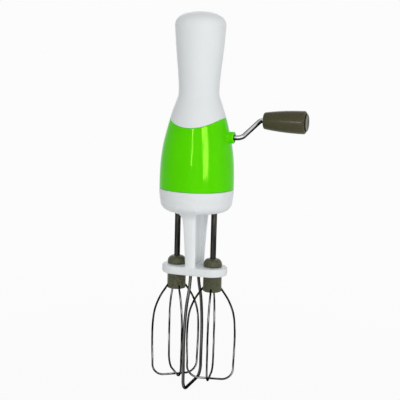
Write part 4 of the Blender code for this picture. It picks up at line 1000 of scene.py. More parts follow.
@dataclass
class Grip(SubAssembly):
    """The white bottle-shaped handle: two moulded halves, screwed together from the rear.

    Attributes:
        outline: The outline that it shares with the sleeve.
        wall: The wall's thickness.
        seam_gap: From the seam's line to the handle's rim.
        rim_round: The rim's edge radius.
        spigot_inset: From the outside in to the spigot.
        spigot_wall: The spigot's thickness.
        spigot_bottom: The spigot's lower end.
        inside_start: Where the inner wall starts above the spigot.
        parting_gap: Between the two halves.
        parting_depth: How deep the parting line's groove is.
        parting_width: How far from the parting plane the groove dies away.
        well_radius: The screw wells' radius.
        well_wall: The screw wells' thickness.
        well_floor: How thick the wells' floors are.
        well_mouth: How far in the wells start, as a share of the wall.
        well_gap: Round the screws' shanks.
        screws: (name, height) of the screws.
        screw_depth: From the outside in to a screw's head.
        screw_tip: Where the screws' points are.
    """

    outline: BottleOutline = field(default_factory=BottleOutline)
    wall: float = 2.2 * MM
    seam_gap: float = 0.06 * MM
    rim_round: float = 0.35 * MM
    spigot_inset: float = 2.3 * MM
    spigot_wall: float = 1.5 * MM
    spigot_bottom: float = 216.2 * MM
    inside_start: float = 232.0 * MM
    parting_gap: float = 0.06 * MM
    parting_depth: float = 0.12 * MM
    parting_width: float = 0.2 * MM
    well_radius: float = 2.8 * MM
    well_wall: float = 1.4 * MM
    well_floor: float = 1.5 * MM
    well_mouth: float = 0.55
    well_gap: float = 0.2 * MM
    screws: tuple[tuple[str, float], ...] = (("upper", 284.0 * MM), ("lower", 252.0 * MM))
    screw_depth: float = 3.6 * MM
    screw_tip: float = -8.0 * MM

    def section(self, angle: Array) -> tuple[Array, Array]:
        """Return the handle's section at each angle, from its pole round to its inside.

        The outer side follows the bottle outline from the shoulder down to the seam, and its
        radius falls by the groove's depth times a bell of the distance from the parting plane.

        Args:
            angle: Angles about the Z axis from +X.

        Returns:
            Radii and heights, as (section points, angles).
        """
        rim = self.outline.seam(angle) + self.seam_gap
        dome = self.outline.dome(28)
        share = np.linspace(0.0, 1.0, 90)[:, None]
        side_z = self.outline.shoulder + (rim + self.rim_round - self.outline.shoulder) * share
        bend = np.linspace(0.0, math.pi / 2, 7)[1:, None]
        edge_r = self.outline.radius(rim + self.rim_round) - self.rim_round
        outer_r = np.vstack([
            np.broadcast_to(dome[:-1, :1], (28, len(angle))), self.outline.radius(side_z),
            edge_r + self.rim_round * np.cos(bend),
        ])
        outer_z = np.vstack([
            np.broadcast_to(dome[:-1, 1:], (28, len(angle))), side_z,
            rim + self.rim_round * (1 - np.sin(bend)),
        ])
        from_plane = outer_r * np.abs(np.sin(angle))
        outer_r = np.maximum(
            outer_r - self.parting_depth * np.exp(-(from_plane / self.parting_width) ** 2), 0.0,
        )
        outer_r[0] = 0.0
        spigot = self.outline.radius_at(self.spigot_bottom) - self.spigot_inset
        inside_z = np.linspace(self.inside_start, self.outline.shoulder, 14)
        inner_dome = self.outline.dome(10, self.wall)[::-1]
        inner = np.vstack([
            [(spigot, self.spigot_bottom), (spigot - self.spigot_wall, self.spigot_bottom)],
            np.column_stack([self.outline.radius(inside_z) - self.wall, inside_z]),
            inner_dome[1:],
        ])
        neck = self.outline.radius(rim) - self.spigot_inset
        inner_r, inner_z = (np.repeat(inner[:, [side]], len(angle), axis=1) for side in (0, 1))
        radii = np.vstack([outer_r, neck, inner_r])
        heights = np.vstack([outer_z, rim, inner_z])
        radii[-1] = 0.0
        return radii, heights

    def half(self, name: str, start: float, side: int) -> Piece:
        """Build one half: the section swept through half a turn, closest near the parting plane.

        Args:
            name: The piece's name.
            start: The angle at which it starts.
            side: -1 for the front half, 1 for the rear.

        Returns:
            The half.
        """
        share = (1 - np.cos(np.linspace(0.0, math.pi, 97))) / 2
        angle = start + math.pi * share
        radii, heights = self.section(angle)
        forward = radii * np.sin(angle) + side * self.parting_gap / 2
        grid = np.stack([radii * np.cos(angle), forward, heights], axis=-1)
        return skin(name, grid, loop_rows=True, ends=Ends.COLUMNS)

    def build(self) -> None:
        """Build both halves, the screw wells and the screws."""
        front = self.half("grip_front_half", math.pi, -1)
        self.fit(front, Finish.WHITE, Body.HOUSING, "handle_front_shell")
        rear = self.half("grip_rear_half", 0.0, 1)
        cutters = []
        for label, height in self.screws:
            outside = self.outline.radius_at(height)
            seat = outside - self.screw_depth - CrossScrew.head_height
            cutters.append(rod_cutter(
                self.well_radius, outside - 2 * self.wall, outside + self.wall, Axis.Y,
                (0, 0, height),
            ))
            inner, outer = self.well_radius, self.well_radius + self.well_wall
            shank = CrossScrew.shank_radius + self.well_gap
            floor, mouth = seat - self.well_floor, outside - self.well_mouth * self.wall
            well = turned(f"grip_{label}_screw_well", np.array([
                (shank, floor), (outer, floor), (outer, mouth), (inner, mouth), (inner, seat),
                (shank, seat),
            ]), BORE_STEPS, Axis.Y, (0, 0, height))
            self.fit(well, Finish.WHITE, Body.HOUSING, "handle_rear_shell")
            screw = CrossScrew().build(
                f"grip_{label}_screw", (0, seat, height), Axis.Y, -1, seat - self.screw_tip,
            )
            self.fit(screw, Finish.ZINC, Body.HOUSING, f"handle_{label}_screw")
        self.fit(drilled(rear, cutters), Finish.WHITE, Body.HOUSING, "handle_rear_shell")


@dataclass
class Sleeve(SubAssembly):
    """The green sleeve round the gears, with the boss that the crank's axle comes out of.

    Attributes:
        outline: The outline that it shares with the grip.
        bottom: Its lower rim.
        wall: Its thickness.
        seam_gap: From the seam's line to the sleeve's rim.
        rim_round: Its rims' edge radius.
        axle_height: The axle's height.
        boss_radius: The boss's radius.
        boss_end: The x of the boss's end.
        boss_start: The x inside the sleeve at which it starts.
        boss_round: The boss's edge radius.
        boss_fillet: The fillet's radius at the boss's root.
        root_sink: How far the fillet's edge lies inside the sleeve's surface.
        bore_radius: The hole for the axle's bush.
        bore_round: The hole's edge radius.
        bush_radii: The bush's radii: its hole, its outside and its flange.
        bush_x: Along the bush, its end, its flange's face and its flanged end.
        bush_round: Its edge radius.
    """

    outline: BottleOutline = field(default_factory=BottleOutline)
    bottom: float = 167.75 * MM
    wall: float = 2.0 * MM
    seam_gap: float = 0.1 * MM
    rim_round: float = 0.5 * MM
    axle_height: float = AXLE_HEIGHT
    boss_radius: float = 4.8 * MM
    boss_end: float = 31.0 * MM
    boss_start: float = 24.0 * MM
    boss_round: float = 0.6 * MM
    boss_fillet: float = 0.9 * MM
    root_sink: float = 0.02 * MM
    bore_radius: float = 3.3 * MM
    bore_round: float = 0.25 * MM
    bush_radii: tuple[float, float, float] = (2.25 * MM, 3.0 * MM, 4.0 * MM)
    bush_x: tuple[float, float, float] = (30.4 * MM, 17.2 * MM, 16.3 * MM)
    bush_round: float = 0.15 * MM

    def ring(self) -> Piece:
        """Build the sleeve: the outline between both rims, with round edges and an inner wall."""
        angle = np.linspace(0.0, FULL_TURN, 180, endpoint=False)
        top = self.outline.seam(angle) - self.seam_gap
        edge = self.rim_round
        share = np.linspace(0.0, 1.0, 72)[:, None]
        outer_z = top - edge + (self.bottom + edge - top + edge) * share
        bend = np.linspace(0.0, math.pi / 2, 7)[:, None]
        top_r = self.outline.radius(top - edge) - edge + edge * np.sin(bend)
        top_z = top - edge + edge * np.cos(bend)
        low_r = self.outline.radius_at(self.bottom + edge) - edge
        foot_r = np.broadcast_to(low_r + edge * np.cos(bend), (7, len(angle)))
        foot_z = np.broadcast_to(self.bottom + edge - edge * np.sin(bend), (7, len(angle)))
        inner_z = self.bottom + (top - self.bottom) * np.linspace(0.0, 1.0, 30)[:, None]
        radii = np.vstack([
            top_r[:-1], self.outline.radius(outer_z), foot_r[1:],
            self.outline.radius(inner_z) - self.wall,
        ])
        heights = np.vstack([top_z[:-1], outer_z, foot_z[1:], inner_z])
        grid = np.stack([radii * np.cos(angle), radii * np.sin(angle), heights], axis=-1)
        return skin("sleeve_ring", grid, loop_rows=True, loop_columns=True)

    def boss(self) -> Piece:
        """Build the boss, whose fillet starts on the sleeve's own surface.

        Round the axle's angle, the fillet's distance from the axle falls with a sine from the
        radius plus the fillet to the radius, while it rises off the sleeve with a cosine.
        """
        around = np.linspace(0.0, FULL_TURN, 96, endpoint=False)
        bend = np.linspace(0.0, math.pi / 2, 10)[:, None]
        away = self.boss_radius + self.boss_fillet * (1 - np.sin(bend)) + 0 * around
        height = self.axle_height + away * np.sin(around)
        surface = np.sqrt(self.outline.radius(height) ** 2 - (away * np.cos(around)) ** 2)
        rise = surface + self.boss_fillet * (1 - np.cos(bend)) - self.root_sink
        ends = rounded(np.array([
            (self.boss_radius, self.boss_end - 2 * self.boss_round),
            (self.boss_radius, self.boss_end), (self.bore_radius, self.boss_end),
            (self.bore_radius, self.boss_start),
        ]), np.array([0.0, self.boss_round, self.bore_round, 0.0]), 6)
        inside = np.array([(self.boss_radius + self.boss_fillet, self.boss_start)])
        plain_r = np.concatenate([ends[:, 0], inside[:, 0]])[:, None] + 0 * around
        plain_x = np.concatenate([ends[:, 1], inside[:, 1]])[:, None] + 0 * around
        radii, along = np.vstack([away, plain_r]), np.vstack([rise, plain_x])
        grid = np.stack([
            along, radii * np.cos(around), self.axle_height + radii * np.sin(around),
        ], axis=-1)
        return skin("sleeve_boss", grid, loop_rows=True, loop_columns=True)

    def build(self) -> None:
        """Build the ring with its hole, the boss and the axle's bush in it."""
        hole = rod_cutter(
            self.bore_radius, self.boss_start, self.boss_end, Axis.X, (0, 0, self.axle_height),
        )
        self.fit(drilled(self.ring(), [hole]), Finish.GREEN, Body.HOUSING, "body_sleeve")
        self.fit(self.boss(), Finish.GREEN, Body.HOUSING, "body_sleeve")
        bush = flanged_bush(
            "axle_bush", self.bush_radii, self.bush_x,
            self.bush_round * np.array([1, 1, 0, 0, 0, 0]), Axis.X, (0, 0, self.axle_height),
        )
        self.fit(bush, Finish.ACETAL, Body.HOUSING, "axle_bush_right")


@dataclass
class LowerHousing(SubAssembly):
    """The white cup, its I-beam leg and the oval guide plate.

    Attributes:
        cup_bottom: The cup's lower face.
        cup_top: The cup's rim, under the sleeve.
        cup_wall_radius: The wall's radius above the lower corner.
        cup_radius: The rim's radius.
        cup_corner: The lower corner's radius.
        cup_thickness: The wall's thickness.
        cup_inside_corner: How wide the slope is between the wall and the floor inside.
        cup_steps: Steps round the cup.
        cup_crowding: How far those steps crowd towards the flanges, in radians.
        rim_round: The rim's edge radius.
        spigot_radius: The spigot's radius, inside the sleeve.
        spigot_wall: The spigot's thickness.
        spigot_top: The spigot's upper end.
        straps: Up the leg's flange, (height, reach of its face, half width).
        strap_thickness: The flange's thickness.
        strap_crown: How far the flange's face is crowned.
        strap_fall: The scale of how the face falls away past its edge.
        strap_fade: The height over which it dies away in the cup's wall.
        strap_blend: How soft it meets the cup at the cup's bottom, and how much more above.
        strap_blend_rise: The height over which it gets softer.
        strap_turn: The least sine that turns its reach into a radius.
        web_half: Half the web's thickness.
        leg_fillet: The leg's fillets at the plate, the cup and the web.
        leg_sink: How far the leg runs into the plate and into the cup.
        leg_rounds: The radii of its outline's corners from the web out to the face's middle.
        plate: The plate's (bottom, top) heights.
        plate_half: Its half length and half width.
        plate_round: Its edge radius.
        shaft_x: The shafts' distance from the middle.
        shaft_holes: The radii of the shafts' holes through the cup and the plate.
        drill_end: How far above the cup's bottom the drill for its holes goes.
        socket: The rest wire's sockets: their radius, top and distance from the middle.
        frame_screws: The frame's screws: (name, x, y).
        screw_sink: How far their heads are sunk.
        screw_gap: Round their heads.
        screw_length: Their length.
        bush_radii: The lower bushes' radii: their hole, their outside and their flange.
        bush_seat: From the cup's floor up to the flange.
        bush_flange: The flange's thickness.
        bush_rounds: The edge radii of their plain ends and of their flanges.
    """

    cup_bottom: float = 149.0 * MM
    cup_top: float = 167.4 * MM
    cup_wall_radius: float = 29.6 * MM
    cup_radius: float = 30.6 * MM
    cup_corner: float = 8.0 * MM
    cup_thickness: float = 2.4 * MM
    cup_inside_corner: float = 4.0 * MM
    cup_steps: int = 480
    cup_crowding: float = 0.36
    rim_round: float = 0.5 * MM
    spigot_radius: float = 28.3 * MM
    spigot_wall: float = 1.2 * MM
    spigot_top: float = 169.6 * MM
    straps: Array = field(default_factory=lambda: mm(
        (96.8, 13.4, 4.1), (103.0, 13.7, 4.2), (110.0, 14.2, 4.35), (122.0, 15.6, 4.6),
        (134.0, 17.1, 5.0), (141.0, 18.3, 5.4), (145.0, 19.9, 5.8), (149.0, 24.3, 7.0),
        (152.0, 27.8, 8.0), (156.0, 29.5, 7.0), (161.0, 30.2, 4.0),
    ))
    strap_thickness: float = 2.8 * MM
    strap_crown: float = 0.9 * MM
    strap_fall: float = 2.5 * MM
    strap_fade: float = 3.0 * MM
    strap_blend: tuple[float, float] = (0.3 * MM, 0.9 * MM)
    strap_blend_rise: float = 6.0 * MM
    strap_turn: float = 0.3
    web_half: float = 1.5 * MM
    leg_fillet: float = 1.6 * MM
    leg_sink: tuple[float, float] = (1.5 * MM, 0.8 * MM)
    leg_rounds: Array = field(default_factory=lambda: mm((1.0, 0.7, 0.9, 1.2, 1.2))[0])
    plate: tuple[float, float] = (96.2 * MM, 103.0 * MM)
    plate_half: tuple[float, float] = (27.8 * MM, 14.0 * MM)
    plate_round: float = 1.4 * MM
    shaft_x: float = SHAFT_X
    shaft_holes: tuple[float, float] = (3.5 * MM, 2.7 * MM)
    drill_end: float = 5.0 * MM
    socket: tuple[float, float, float] = (1.45 * MM, 99.6 * MM, 9.98 * MM)
    frame_screws: tuple[tuple[str, float, float], ...] = (
        ("front", -12.0 * MM, -14.5 * MM), ("rear", 12.0 * MM, 14.5 * MM),
    )
    screw_sink: float = 2.1 * MM
    screw_gap: float = 0.3 * MM
    screw_length: float = 27.4 * MM
    bush_radii: tuple[float, float, float] = (2.65 * MM, 3.2 * MM, 4.6 * MM)
    bush_seat: float = 0.3 * MM
    bush_flange: float = 4.5 * MM
    bush_rounds: tuple[float, float] = (0.15 * MM, 0.2 * MM)

    def cup_section(self) -> Array:
        """Return the cup's outside from the edge of its flat bottom up to its rim."""
        middle = (self.cup_wall_radius - self.cup_corner, self.cup_bottom + self.cup_corner)
        corner = arc(middle, self.cup_corner, -math.pi / 2, 0.0, 36)
        share = np.linspace(0.0, 1.0, 14)[1:]
        edge = self.rim_round
        rise = self.cup_top - edge - corner[-1, 1]
        swell = self.cup_radius - self.cup_wall_radius
        wall = np.column_stack([
            corner[-1, 0] + swell * (1 - (1 - share) ** 2), corner[-1, 1] + rise * share,
        ])
        rim = arc((self.cup_radius - edge, self.cup_top - edge), edge, 0, math.pi / 2, 5)
        return np.vstack([corner, wall, rim[1:]])

    def cup(self) -> Piece:
        """Build the cup, over whose lower corner the leg's two flanges flow into its wall.

        The radius at an angle and a height is the plain cup's plus the soft excess of the
        flange's face over it. The face lies at its reach, less its crown times the squared share
        of its half width, and falls away with the square of the distance past its edge.
        """
        even = np.linspace(0.0, FULL_TURN, self.cup_steps, endpoint=False)
        angle = even + self.cup_crowding * np.sin(2 * even)
        section = self.cup_section()
        radius, height = section[:, :1], section[:, 1:]
        sideways = np.abs(radius * np.cos(angle))
        reach = through_stations(self.straps, height)
        half = through_stations(self.straps, height, 2)
        past = np.maximum(sideways - half, 0.0)
        crown = self.strap_crown * np.minimum(sideways / half, 1.0) ** 2
        face = reach - crown - past**2 / self.strap_fall
        forward = np.maximum(np.abs(np.sin(angle)), self.strap_turn)
        least, more = self.strap_blend
        softness = least + more * ease((height - self.cup_bottom) / self.strap_blend_rise)
        fade = ease((self.straps[-1, 0] - height) / self.strap_fade)
        radius = radius + fade * soft_excess(face / forward - radius, softness)
        low_inside = self.cup_wall_radius - self.cup_thickness
        mouth = self.spigot_radius - self.spigot_wall
        inner = np.array([
            (self.spigot_radius, self.cup_top), (self.spigot_radius, self.spigot_top),
            (mouth, self.spigot_top), (mouth, self.cup_top),
            (low_inside, self.cup_bottom + self.cup_corner),
            (low_inside - self.cup_inside_corner, self.cup_bottom + self.cup_thickness),
            (0.0, self.cup_bottom + self.cup_thickness),
        ])
        around = np.ones(len(angle))
        radii = np.vstack([0 * around, radius, inner[:, :1] * around])
        heights = np.vstack([self.cup_bottom * around, height * around, inner[:, 1:] * around])
        grid = np.stack([radii * np.cos(angle), radii * np.sin(angle), heights], axis=-1)
        cup = skin("cup", grid, loop_columns=True, crease=SOFT_CREASE)
        below, inside = self.cup_bottom - MM, self.cup_bottom + self.drill_end
        cutters = [
            rod_cutter(self.shaft_holes[0], below, inside, centre=(x, 0, 0))
            for x in (-self.shaft_x, self.shaft_x)
        ]
        head, seat = CrossScrew.head_radius + self.screw_gap, self.cup_bottom + self.screw_sink
        cutters += [
            rod_cutter(head, below, seat, centre=(x, y, 0)) for _, x, y in self.frame_screws
        ]
        return drilled(cup, cutters, SOFT_CREASE)

    def fillet(self, distance: Array) -> Array:
        """Return how far the leg's fillet stands out at a distance from the face it meets."""
        near = np.clip(1 - distance / self.leg_fillet, 0.0, 1.0)
        return self.leg_fillet * (1 - np.sqrt(1 - near**2))

    def leg(self) -> Piece:
        """Build the leg: an I-shaped outline carried up its height.

        The outline at each height takes its reach and half width from the stations, its faces
        are crowned, its corners are rounded, and it swells by a quarter circle where it meets
        the plate and the cup's bottom.
        """
        foot, head, near = self.plate[1], self.cup_bottom, 2 * MM
        height = np.concatenate([
            np.linspace(foot - self.leg_sink[0], foot, 3)[:-1],
            np.linspace(foot, foot + near, 10)[:-1],
            np.linspace(foot + near, head - near, 60)[:-1],
            np.linspace(head - near, head, 10)[:-1],
            np.linspace(head, head + self.leg_sink[1], 3),
        ])
        reach = through_stations(self.straps, height)
        half = through_stations(self.straps, height, 2)
        at_foot, at_head = self.fillet(height - foot), self.fillet(head - height)
        web = self.web_half + at_foot + at_head
        half = half + at_foot
        back = reach - self.strap_thickness - at_foot - at_head
        sideways = np.stack([web, half, half, 0.5 * half, 0 * half], axis=1)
        crown = self.strap_crown
        forward = np.stack([back, back, reach - crown, reach - 0.25 * crown, reach], axis=1)
        quarter = np.stack([sideways, forward], axis=-1)
        right = np.concatenate([quarter, quarter[:, -2::-1] * (-1, 1)], axis=1)
        whole = np.concatenate([right, right * (-1, -1)], axis=1)
        sizes = np.concatenate([self.leg_rounds, self.leg_rounds[-2::-1]])
        outline = rounded(whole, np.tile(sizes, 2)[None], 5)
        level = np.broadcast_to(height[:, None, None], (*outline.shape[:2], 1))
        grid = np.concatenate([outline, level], axis=-1)
        return skin("leg", grid, loop_columns=True, ends=Ends.ROWS, crease=SOFT_CREASE)

    def guide_plate(self) -> Piece:
        """Build the plate: a stadium whose outline draws in by a quarter circle at each edge."""
        bend = np.linspace(0.0, math.pi / 2, 8)
        inset = self.plate_round * np.concatenate([1 - np.sin(bend), 1 - np.sin(bend[::-1])])
        low = self.plate[0] + self.plate_round * (1 - np.cos(bend))
        high = self.plate[1] - self.plate_round * (1 - np.cos(bend[::-1]))
        level = np.concatenate([low, high])
        around = np.linspace(-math.pi / 2, math.pi / 2, 49)
        length, width = self.plate_half
        right = np.column_stack([np.cos(around), np.sin(around), np.ones(len(around))])
        ends = np.vstack([right, right * (-1, -1, -1)])
        radius = (width - inset)[:, None]
        grid = np.stack([
            ends[:, 2] * (length - width) + radius * ends[:, 0], radius * ends[:, 1],
            np.broadcast_to(level[:, None], (len(level), len(ends))),
        ], axis=-1)
        plate = skin("guide_plate", grid, loop_columns=True, ends=Ends.ROWS)
        below, above = self.plate[0] - MM, self.plate[1] + MM
        holes = [
            rod_cutter(self.shaft_holes[1], below, above, centre=(x, 0, 0))
            for x in (-self.shaft_x, self.shaft_x)
        ]
        radius, top, reach = self.socket
        sockets = [rod_cutter(radius, below, top, centre=(0, y, 0)) for y in (-reach, reach)]
        return drilled(plate, holes + sockets)

    def build(self) -> None:
        """Build the cup, the leg, the plate, the frame's screws and the shafts' lower bushes."""
        for piece in (self.cup(), self.leg(), self.guide_plate()):
            self.fit(piece, Finish.WHITE, Body.HOUSING, "lower_housing")
        for label, x, y in self.frame_screws:
            place = (x, y, self.cup_bottom + self.screw_sink)
            screw = CrossScrew().build(
                f"frame_{label}_fixing", place, Axis.Z, 1, self.screw_length,
            )
            self.fit(screw, Finish.ZINC, Body.HOUSING, f"frame_{label}_screw")
        seat = self.cup_bottom + self.cup_thickness + self.bush_seat
        along = (self.cup_bottom, seat, seat + self.bush_flange)
        plain, flanged = self.bush_rounds
        rounds = np.array([plain, plain, 0.0, flanged, flanged, flanged])
        for label, x in (("left", -self.shaft_x), ("right", self.shaft_x)):
            bush = flanged_bush(
                f"{label}_cup_bush", self.bush_radii, along, rounds, centre=(x, 0, 0),
            )
            self.fit(bush, Finish.ACETAL, Body.HOUSING, f"{label}_lower_bush")


@dataclass(frozen=True)
class WireLoop:
    """A wire bent down, across a flat foot and up again, in one upright plane.

    Attributes:
        stations: Down one side, (reach, height).
        radius: The wire's radius.
        foot: The height of the wire's middle along the foot.
        corner: The radius of the two lower bends.
    """

    stations: Array
    radius: float
    foot: float
    corner: float

    def route(self) -> Array:
        """Return the loop in its plane: down the smooth side, round the bend and mirrored."""
        side = smooth_route(self.stations, 14)
        low = side[-1, 0]
        bend = arc((low - self.corner, self.foot + self.corner), self.corner, 0, -math.pi / 2, 18)
        down = np.vstack([side, bend[1:]])
        across = np.linspace(down[-1], down[-1] * (-1, 1), 10)[1:-1]
        return np.vstack([down, across, down[::-1] * (-1, 1)])

    def build(self, name: str, turn: float, x: float, sides: int = 20) -> Piece:
        """Build the wire in the upright plane at a turn from +X, about the axis at x.

        Args:
            name: The piece's name.
            turn: The plane's angle from +X.
            x: Where the loop's axis is.
            sides: Steps round the wire.

        Returns:
            The wire, cut flat where it would go below the floor.
        """
        flat = self.route()
        heading = np.array([math.cos(turn), math.sin(turn), 0.0])
        route = flat[:, :1] * heading + flat[:, 1:] * np.array([0.0, 0.0, 1.0]) + (x, 0, 0)
        normal = np.array([-math.sin(turn), math.cos(turn), 0.0])
        piece = tube(name, route, normal, self.radius, sides)
        count = len(piece.data.vertices)
        points = np.empty(count * 3)
        piece.data.vertices.foreach_get("co", points)
        points = points.reshape(-1, 3)
        points[:, 2] = np.maximum(points[:, 2], 0.0)
        piece.data.vertices.foreach_set("co", points.ravel())
        piece.data.update()
        return piece


@dataclass
class RestLoop(SubAssembly):
    """The fixed wire loop that keeps the beaters off the bowl.

    Attributes:
        wire: Its wire.
    """

    wire: WireLoop = field(default_factory=lambda: WireLoop(
        mm(
            (9.9, 99.6), (10.2, 94.0), (12.6, 85.0), (18.3, 72.5), (21.8, 58.0), (23.4, 42.0),
            (22.8, 18.0),
        ),
        1.3 * MM, 1.15 * MM, 9.0 * MM,
    ))

    def build(self) -> None:
        """Build the loop."""
        loop = self.wire.build("rest_wire", math.pi / 2, 0.0, 28)
        self.fit(loop, Finish.REST_WIRE, Body.HOUSING, "stand_loop")


@dataclass
class Beater(SubAssembly):
    """One driven beater: its shaft, dome, collar and two crossed wire loops.

    Attributes:
        label: "left" or "right".
        body: The body that it turns with.
        x: Where its axis is.
        turn: The first loop's turn from +X.
        foot: The height of the first loop's foot.
        wire_radius: The wires' radius.
        wire_corner: The radius of the wires' lower bends.
        wire_gap: Between the two wires where they cross.
        stations: Down one side of a loop, (reach, height).
        shaft_radius: The shaft's radius.
        shaft_neck: Its radius above its shoulder.
        shaft_ease: The width of its upper end's bevel.
        shaft_z: The heights of its lower end, its shoulder and its upper end.
        bore: The radius of the holes round the shaft.
        dome_radii: The dome's radii at its skirt and round its top.
        dome_z: The heights of its lower face, its skirt's top and its top.
        collar_radius: The collar's radius.
        collar_z: The heights of its lower face, its bore's floor and its top.
        rounds: The edge radii at the dome's foot and the collar's lower and upper edges.
    """

    label: str = "left"
    body: Body = Body.LEFT_BEATER
    x: float = -SHAFT_X
    turn: float = 0.0
    foot: float = 6.7 * MM
    wire_radius: float = 0.845 * MM
    wire_corner: float = 10.0 * MM
    wire_gap: float = 0.3 * MM
    stations: Array = field(default_factory=lambda: mm(
        (4.9, 88.0), (8.3, 83.6), (14.2, 74.6), (18.3, 64.0), (19.9, 51.0), (20.0, 36.0),
        (19.5, 20.0),
    ))
    shaft_radius: float = 2.4 * MM
    shaft_neck: float = 2.2 * MM
    shaft_ease: float = 0.4 * MM
    shaft_z: tuple[float, float, float] = (85.4 * MM, 190.8 * MM, 205.4 * MM)
    bore: float = 2.65 * MM
    dome_radii: tuple[float, float] = (7.75 * MM, 3.1 * MM)
    dome_z: tuple[float, float, float] = (103.35 * MM, 104.7 * MM, 109.9 * MM)
    collar_radius: float = 7.7 * MM
    collar_z: tuple[float, float, float] = (82.3 * MM, 85.1 * MM, 95.85 * MM)
    rounds: tuple[float, float, float] = (0.4 * MM, 0.8 * MM, 0.5 * MM)

    def shaft(self) -> Piece:
        """Build the shaft, a rod with a thinner neck under its pinion and eased ends."""
        radius, neck, tip = self.shaft_radius, self.shaft_neck, self.shaft_ease
        low, shoulder, high = self.shaft_z
        levels = np.linspace(low + MM, shoulder - MM, 40)
        profile = np.vstack([
            [(0.0, low), (radius - tip / 2, low), (radius, low + tip / 2)],
            np.column_stack([np.full(40, radius), levels]),
            [(radius, shoulder - tip / 4), (radius - tip / 4, shoulder), (neck, shoulder)],
            [(neck, high - tip), (neck - tip, high), (0.0, high)],
        ])
        return turned(f"{self.label}_drive_shaft", profile, ROD_STEPS, centre=(self.x, 0, 0))

    def dome(self) -> Piece:
        """Build the dome that sits on the guide plate, a quarter ellipse over a short skirt."""
        (radius, top), (bottom, skirt, high), edge = self.dome_radii, self.dome_z, self.rounds[0]
        lean = np.linspace(0.0, math.pi / 2, 22)
        cap = np.column_stack([
            top + (radius - top) * np.cos(lean), skirt + (high - skirt) * np.sin(lean),
        ])
        foot = arc((radius - edge, bottom + edge), edge, -math.pi / 2, 0.0, 5)
        profile = np.vstack([[(self.bore, bottom)], foot, cap, [(self.bore, high)]])
        return self.capped("shaft_dome", profile)

    def collar(self) -> Piece:
        """Build the collar that the wires are moulded into, with eased edges."""
        radius, (bottom, floor, top) = self.collar_radius, self.collar_z
        under, over = self.rounds[1:]
        low = arc((radius - under, bottom + under), under, -math.pi / 2, 0.0, 7)
        high = arc((radius - over, top - over), over, 0.0, math.pi / 2, 6)
        levels = np.linspace(low[-1, 1], high[0, 1], 12)[1:-1]
        wall = np.column_stack([np.full(10, radius), levels])
        profile = np.vstack([
            [(0.0, bottom)], low, wall, high, [(self.bore, top), (self.bore, floor), (0.0, floor)],
        ])
        return self.capped("wire_collar", profile)

    def capped(self, name: str, profile: Array) -> Piece:
        """Turn a cap's profile about the beater's axis, under its label and a name."""
        return turned(
            f"{self.label}_{name}", profile, CAP_STEPS, centre=(self.x, 0, 0), crease=CAP_CREASE,
        )

    def build(self) -> None:
        """Build the beater's pieces."""
        self.fit(self.shaft(), Finish.SHAFT, self.body, f"{self.label}_shaft")
        self.fit(self.dome(), Finish.COLLAR, self.body, f"{self.label}_dome")
        self.fit(self.collar(), Finish.COLLAR, self.body, f"{self.label}_collar")
        step = 2 * self.wire_radius + self.wire_gap
        for number, kind in enumerate(("outer", "inner")):
            foot, turn = self.foot + number * step, self.turn + number * math.pi / 2
            wire = WireLoop(self.stations, self.wire_radius, foot, self.wire_corner)
            loop = wire.build(f"{self.label}_{kind}_wire", turn, self.x)
            self.fit(loop, Finish.BEATER_WIRE, self.body, f"{self.label}_{kind}_loop")


